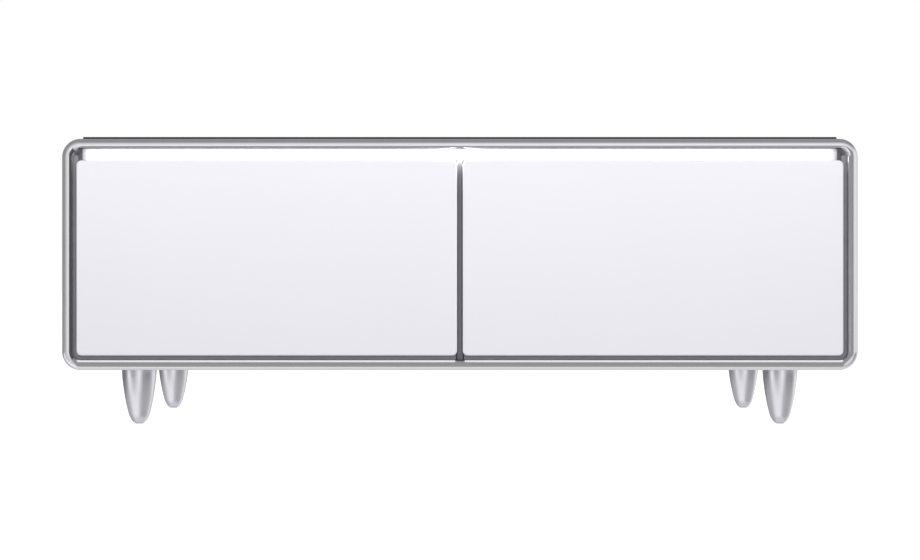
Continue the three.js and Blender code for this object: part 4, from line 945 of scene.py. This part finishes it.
# %% Liners
LINER_WALL, LINER_RADIUS, LINER_FOOT, LINER_EDGE, BACK_INSET = 2.0, 22 * MM, 14.0, 0.3, 80


def liner_section(deep):
    """Rows (inset, depth) from the outer back, forward to the open edge, and back inside."""
    wall, foot, edge = LINER_WALL, LINER_FOOT, LINER_EDGE
    rows = [
        [(foot + BACK_INSET, deep), (foot + HOLD / MM, deep)],
        quarter_round((foot, deep - foot), foot, 90, 180, 8),
        [(0, wall), (0, edge), (edge, 0), (wall - edge, 0), (wall, edge)],
        [(wall, deep - wall - foot)],
        quarter_round((wall + foot, deep - wall - foot), foot, 180, 90, 8)[1:],
        [(wall + foot + HOLD / MM, deep - wall), (wall + foot + BACK_INSET, deep - wall)],
    ]
    return joined(rows) * MM


for side in SIDES:
    low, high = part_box(f"liner_{side}")
    size = high - low
    grid = carry_round(liner_section(size.y / MM), size.x, size.z, LINER_RADIUS, 12)
    place = facing_front(grid, (low.x + high.x) / 2, low.y, (low.z + high.z) / 2)
    tub = piece_from_grid(f"formed_liner_{side}", place, "cabinet", white_styrene, "inner_plastic")
    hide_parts(f"liner_{side}")

# %% [markdown]
# ## Legs
# The legs are turned to a bullet: nearly straight at the top, drawn in ever faster below, and blunt at
# the floor, where a plastic glide is pushed in. A stretched sphere could stand in for one, but the real
# outline is fuller. So a radius for each height, smoothed between the measured ones, is turned round
# the leg's axis.

# %% Legs and glides
TURN_STEPS = 96
LEG_HEIGHT_SHARES = [0, 0.1, 0.24, 0.46, 0.68, 0.87, 1]
LEG_RADIUS_SHARES = [0.34, 0.53, 0.66, 0.81, 0.915, 0.98, 1]


def smooth_through(knots, values, at):
    """Cubic curve through points: between two, a Hermite cubic with the mean slope of its neighbours."""
    knots, values = np.array(knots, float), np.array(values, float)
    slope = np.gradient(values, knots)
    k = np.clip(np.searchsorted(knots, at, side="right") - 1, 0, len(knots) - 2)
    span = knots[k + 1] - knots[k]
    t = (at - knots[k]) / span
    start = (1 + 2 * t) * (1 - t) ** 2 * values[k] + t * (1 - t) ** 2 * span * slope[k]
    end = t**2 * (3 - 2 * t) * values[k + 1] + t**2 * (t - 1) * span * slope[k + 1]
    return start + end


def turned(profile, centre_x, centre_y, steps=TURN_STEPS):
    """Turns a profile of (radius, height) rows round an upright axis."""
    angle = np.linspace(0, 2 * math.pi, steps, endpoint=False)
    profile = np.array(profile, float)
    radius, height = profile[:, 0, None], profile[:, 1, None]
    x, y = centre_x + radius * np.cos(angle), centre_y + radius * np.sin(angle)
    return np.stack([x, y, np.broadcast_to(height, x.shape)], axis=-1)


LEG_RADIUS, LEG_TOP, LEG_FOOT, STUD_RADIUS = 29.5 * MM, 95.7 * MM, 2.1 * MM, 5 * MM
FOOT_EDGE, LEAST_STEP = 1.8 * MM, 0.5 * MM
AXIS = 0.2 * MM  # a turned face starts this far from the axis, and a small disc fills it
STEM, PAD, PAD_STEPS = 2.5 * MM, 1.8 * MM, 48
LEG_ROWS = 40  # closest together at the foot, where the outline bends most
leg_share = 1 - np.cos(np.linspace(0, math.pi / 2, LEG_ROWS))
leg_radius = LEG_RADIUS * smooth_through(LEG_HEIGHT_SHARES, LEG_RADIUS_SHARES, leg_share)
leg_height = LEG_FOOT + leg_share * (LEG_TOP - LEG_FOOT)
foot_flat = leg_radius[0] - FOOT_EDGE
foot = quarter_round((foot_flat, LEG_FOOT + FOOT_EDGE), FOOT_EDGE, 270, 340, 5)
bullet = np.stack([leg_radius, leg_height], axis=1)[leg_height > foot[-1, 1] + LEAST_STEP]
for end in ENDS:
    for side in SIDES:
        low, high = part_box(f"leg_{end}_{side}")
        centre = (low + high) / 2
        sole = [(AXIS, LEG_FOOT), (foot_flat - HOLD, LEG_FOOT)]
        stud = [(STUD_RADIUS, LEG_TOP), (STUD_RADIUS, high.z), (AXIS, high.z)]
        place = turned(joined([sole, foot, bullet, stud]), centre.x, centre.y)
        leg = piece_from_grid(f"turned_leg_{end}_{side}", place, "cabinet", polished_leg, "leg_metal")
        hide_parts(f"leg_{end}_{side}")

        low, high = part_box(f"leg_glide_{end}_{side}")
        pad_flat = (high.x - low.x) / 2 - PAD
        sole = [(AXIS, low.z), (pad_flat - HOLD, low.z)]
        stem = [(STEM, PAD), (STEM, high.z), (AXIS, high.z)]
        rows = joined([sole, quarter_round((pad_flat, PAD), PAD, 270, 360, 6), stem])
        place = turned(rows, centre.x, centre.y, PAD_STEPS)
        glide = piece_from_grid(f"floor_glide_{end}_{side}", place, "cabinet", white_nylon, "inner_plastic")
        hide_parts(f"leg_glide_{end}_{side}")

# %% [markdown]
# ## Cord gland
# Where the mains lead will leave the back, a black bush is pushed through the cover. Three cylinders
# could be joined to make it, with seams between them. It is turned in one closed section instead: a
# flange inside, a neck in the hole, and a round flange outside.

# %% Cord gland
gland_low, gland_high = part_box("cord_gland")
GLAND_BORE, GLAND_NECK, GLAND_FLANGE, FLANGE_THICKNESS = 4.4 * MM, 7 * MM, 11 * MM, 3 * MM
GLAND_CHAMFER, FLANGE_ROUND, BORE_ROUND, GLAND_STEPS = 0.4 * MM, 2 * MM, 1 * MM, 48
depth = gland_high.y - gland_low.y
bore, flange, chamfer = GLAND_BORE, GLAND_FLANGE, GLAND_CHAMFER
rows = [
    [(bore, chamfer), (bore + chamfer, 0), (flange - chamfer, 0), (flange, chamfer)],
    [(flange, FLANGE_THICKNESS), (GLAND_NECK, FLANGE_THICKNESS)],
    [(GLAND_NECK, depth - FLANGE_THICKNESS), (flange, depth - FLANGE_THICKNESS)],
    quarter_round((flange - FLANGE_ROUND, depth - FLANGE_ROUND), FLANGE_ROUND, 0, 90, 6),
    quarter_round((bore + BORE_ROUND, depth - BORE_ROUND), BORE_ROUND, 90, 180, 6),
]
middle = (gland_low + gland_high) / 2
place = facing_front(turned(joined(rows), 0, 0, GLAND_STEPS), middle.x, gland_low.y, middle.z)
bush = piece_from_grid("gland_bush", place, "cabinet", black_abs, "black_plastic", tube=True)
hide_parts("cord_gland")

# %% [markdown]
# ## Screws of the rear cover
# The cover is held by pan head screws along its edge. A head is a low dome with a cross recess. The
# cross could be cut out of a dome, which leaves ragged faces. Over a polar grid the height is simply a
# circle's arc, less the recess where a point is near either arm of the cross. One head is worked out,
# and then set in every place at once.

# %% One screw head
HEAD_RADIUS, HEAD_HEIGHT, HEAD_STEPS = 4.0, 2.2, 48
ARM_WIDTH, ARM_LENGTH, RECESS_DEPTH = 0.5, 2.1, 1.2
DOME_SHARE = 0.75  # at the rim, the arc's height is the square root of one minus this
RECESS_RINGS, RIM_RINGS = (0.1, 2.6, 14), (2.9, HEAD_RADIUS, 6)  # from, to and number of rings
SIDE_END = 1.25  # the recess ends this many arm widths from an arm's middle
SIDE_WALL, END_WALL = 2.4, 6  # how steeply it rises at an arm's side and at its end
EMBEDDED = 0.3  # a head starts this far inside the sheet, so that no gap shows


def head_grid():
    """Rows go out from the centre. The height is arc(r) - recess(x, y), and the last row is the foot."""
    radius = np.concatenate([np.linspace(*RECESS_RINGS), np.linspace(*RIM_RINGS)])[:, None]
    angle = np.linspace(0, 2 * math.pi, HEAD_STEPS, endpoint=False)[None]
    x, y = radius * np.cos(angle), radius * np.sin(angle)
    dome = HEAD_HEIGHT * np.sqrt(1 - DOME_SHARE * (radius / HEAD_RADIUS) ** 2)
    near_arm = np.minimum(np.abs(x), np.abs(y)) / ARM_WIDTH
    along_arm = np.maximum(np.abs(x), np.abs(y)) / ARM_LENGTH
    side, end = SIDE_WALL * (SIDE_END - near_arm), END_WALL * (1 - along_arm)
    recess = RECESS_DEPTH * np.clip(side, 0, 1) * np.clip(end, 0, 1)
    rows = np.stack([x, dome - recess, y], axis=-1)
    foot = rows[-1:].copy()
    foot[..., 1] = -EMBEDDED
    return np.concatenate([rows, foot]) * MM


head = head_grid()
around = head.shape[1]
lattice = np.arange(head.shape[0] * around).reshape(head.shape[0], around)
inner, outer = lattice[:-1], lattice[1:]
quads = np.stack([inner, np.roll(inner, -1, 1), np.roll(outer, -1, 1), outer], axis=-1).reshape(-1, 4)
head_points = head.reshape(-1, 3)
middle_cap, foot_cap = lattice[0][::-1], lattice[-1]
if signed_volume(head_points, quads, [middle_cap, foot_cap]) < 0:
    quads, middle_cap, foot_cap = quads[:, ::-1], middle_cap[::-1], foot_cap[::-1]
print("a screw head has", len(quads) + 2, "faces")

# %% Cover screws
SCREW_INSET, SCREW_COLUMNS, SCREW_ROWS = 12 * MM, 6, 3
COLUMN_MARGIN, ROW_MARGIN = 25 * MM, 60 * MM
cover_low, cover_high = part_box("rear_cover")
left, right = cover_low.x + SCREW_INSET, cover_high.x - SCREW_INSET
bottom, top = cover_low.z + SCREW_INSET, cover_high.z - SCREW_INSET
columns = np.linspace(left + COLUMN_MARGIN, right - COLUMN_MARGIN, SCREW_COLUMNS)
rows = np.linspace(bottom + ROW_MARGIN, top - ROW_MARGIN, SCREW_ROWS)
places = [(x, z) for z in (bottom, top) for x in columns] + [(x, z) for x in (left, right) for z in rows]
offsets = np.array([(x, cover_high.y, z) for x, z in places])
points = (offsets[:, None] + head_points[None]).reshape(-1, 3)
starts = np.arange(len(places)) * len(head_points)
faces = (starts[:, None, None] + quads[None]).reshape(-1, 4).tolist()
faces += (starts[:, None] + middle_cap[None]).tolist() + (starts[:, None] + foot_cap[None]).tolist()
closed_piece("cover_screws", points, faces, "cabinet", galvanised)
print(len(places), "screws")
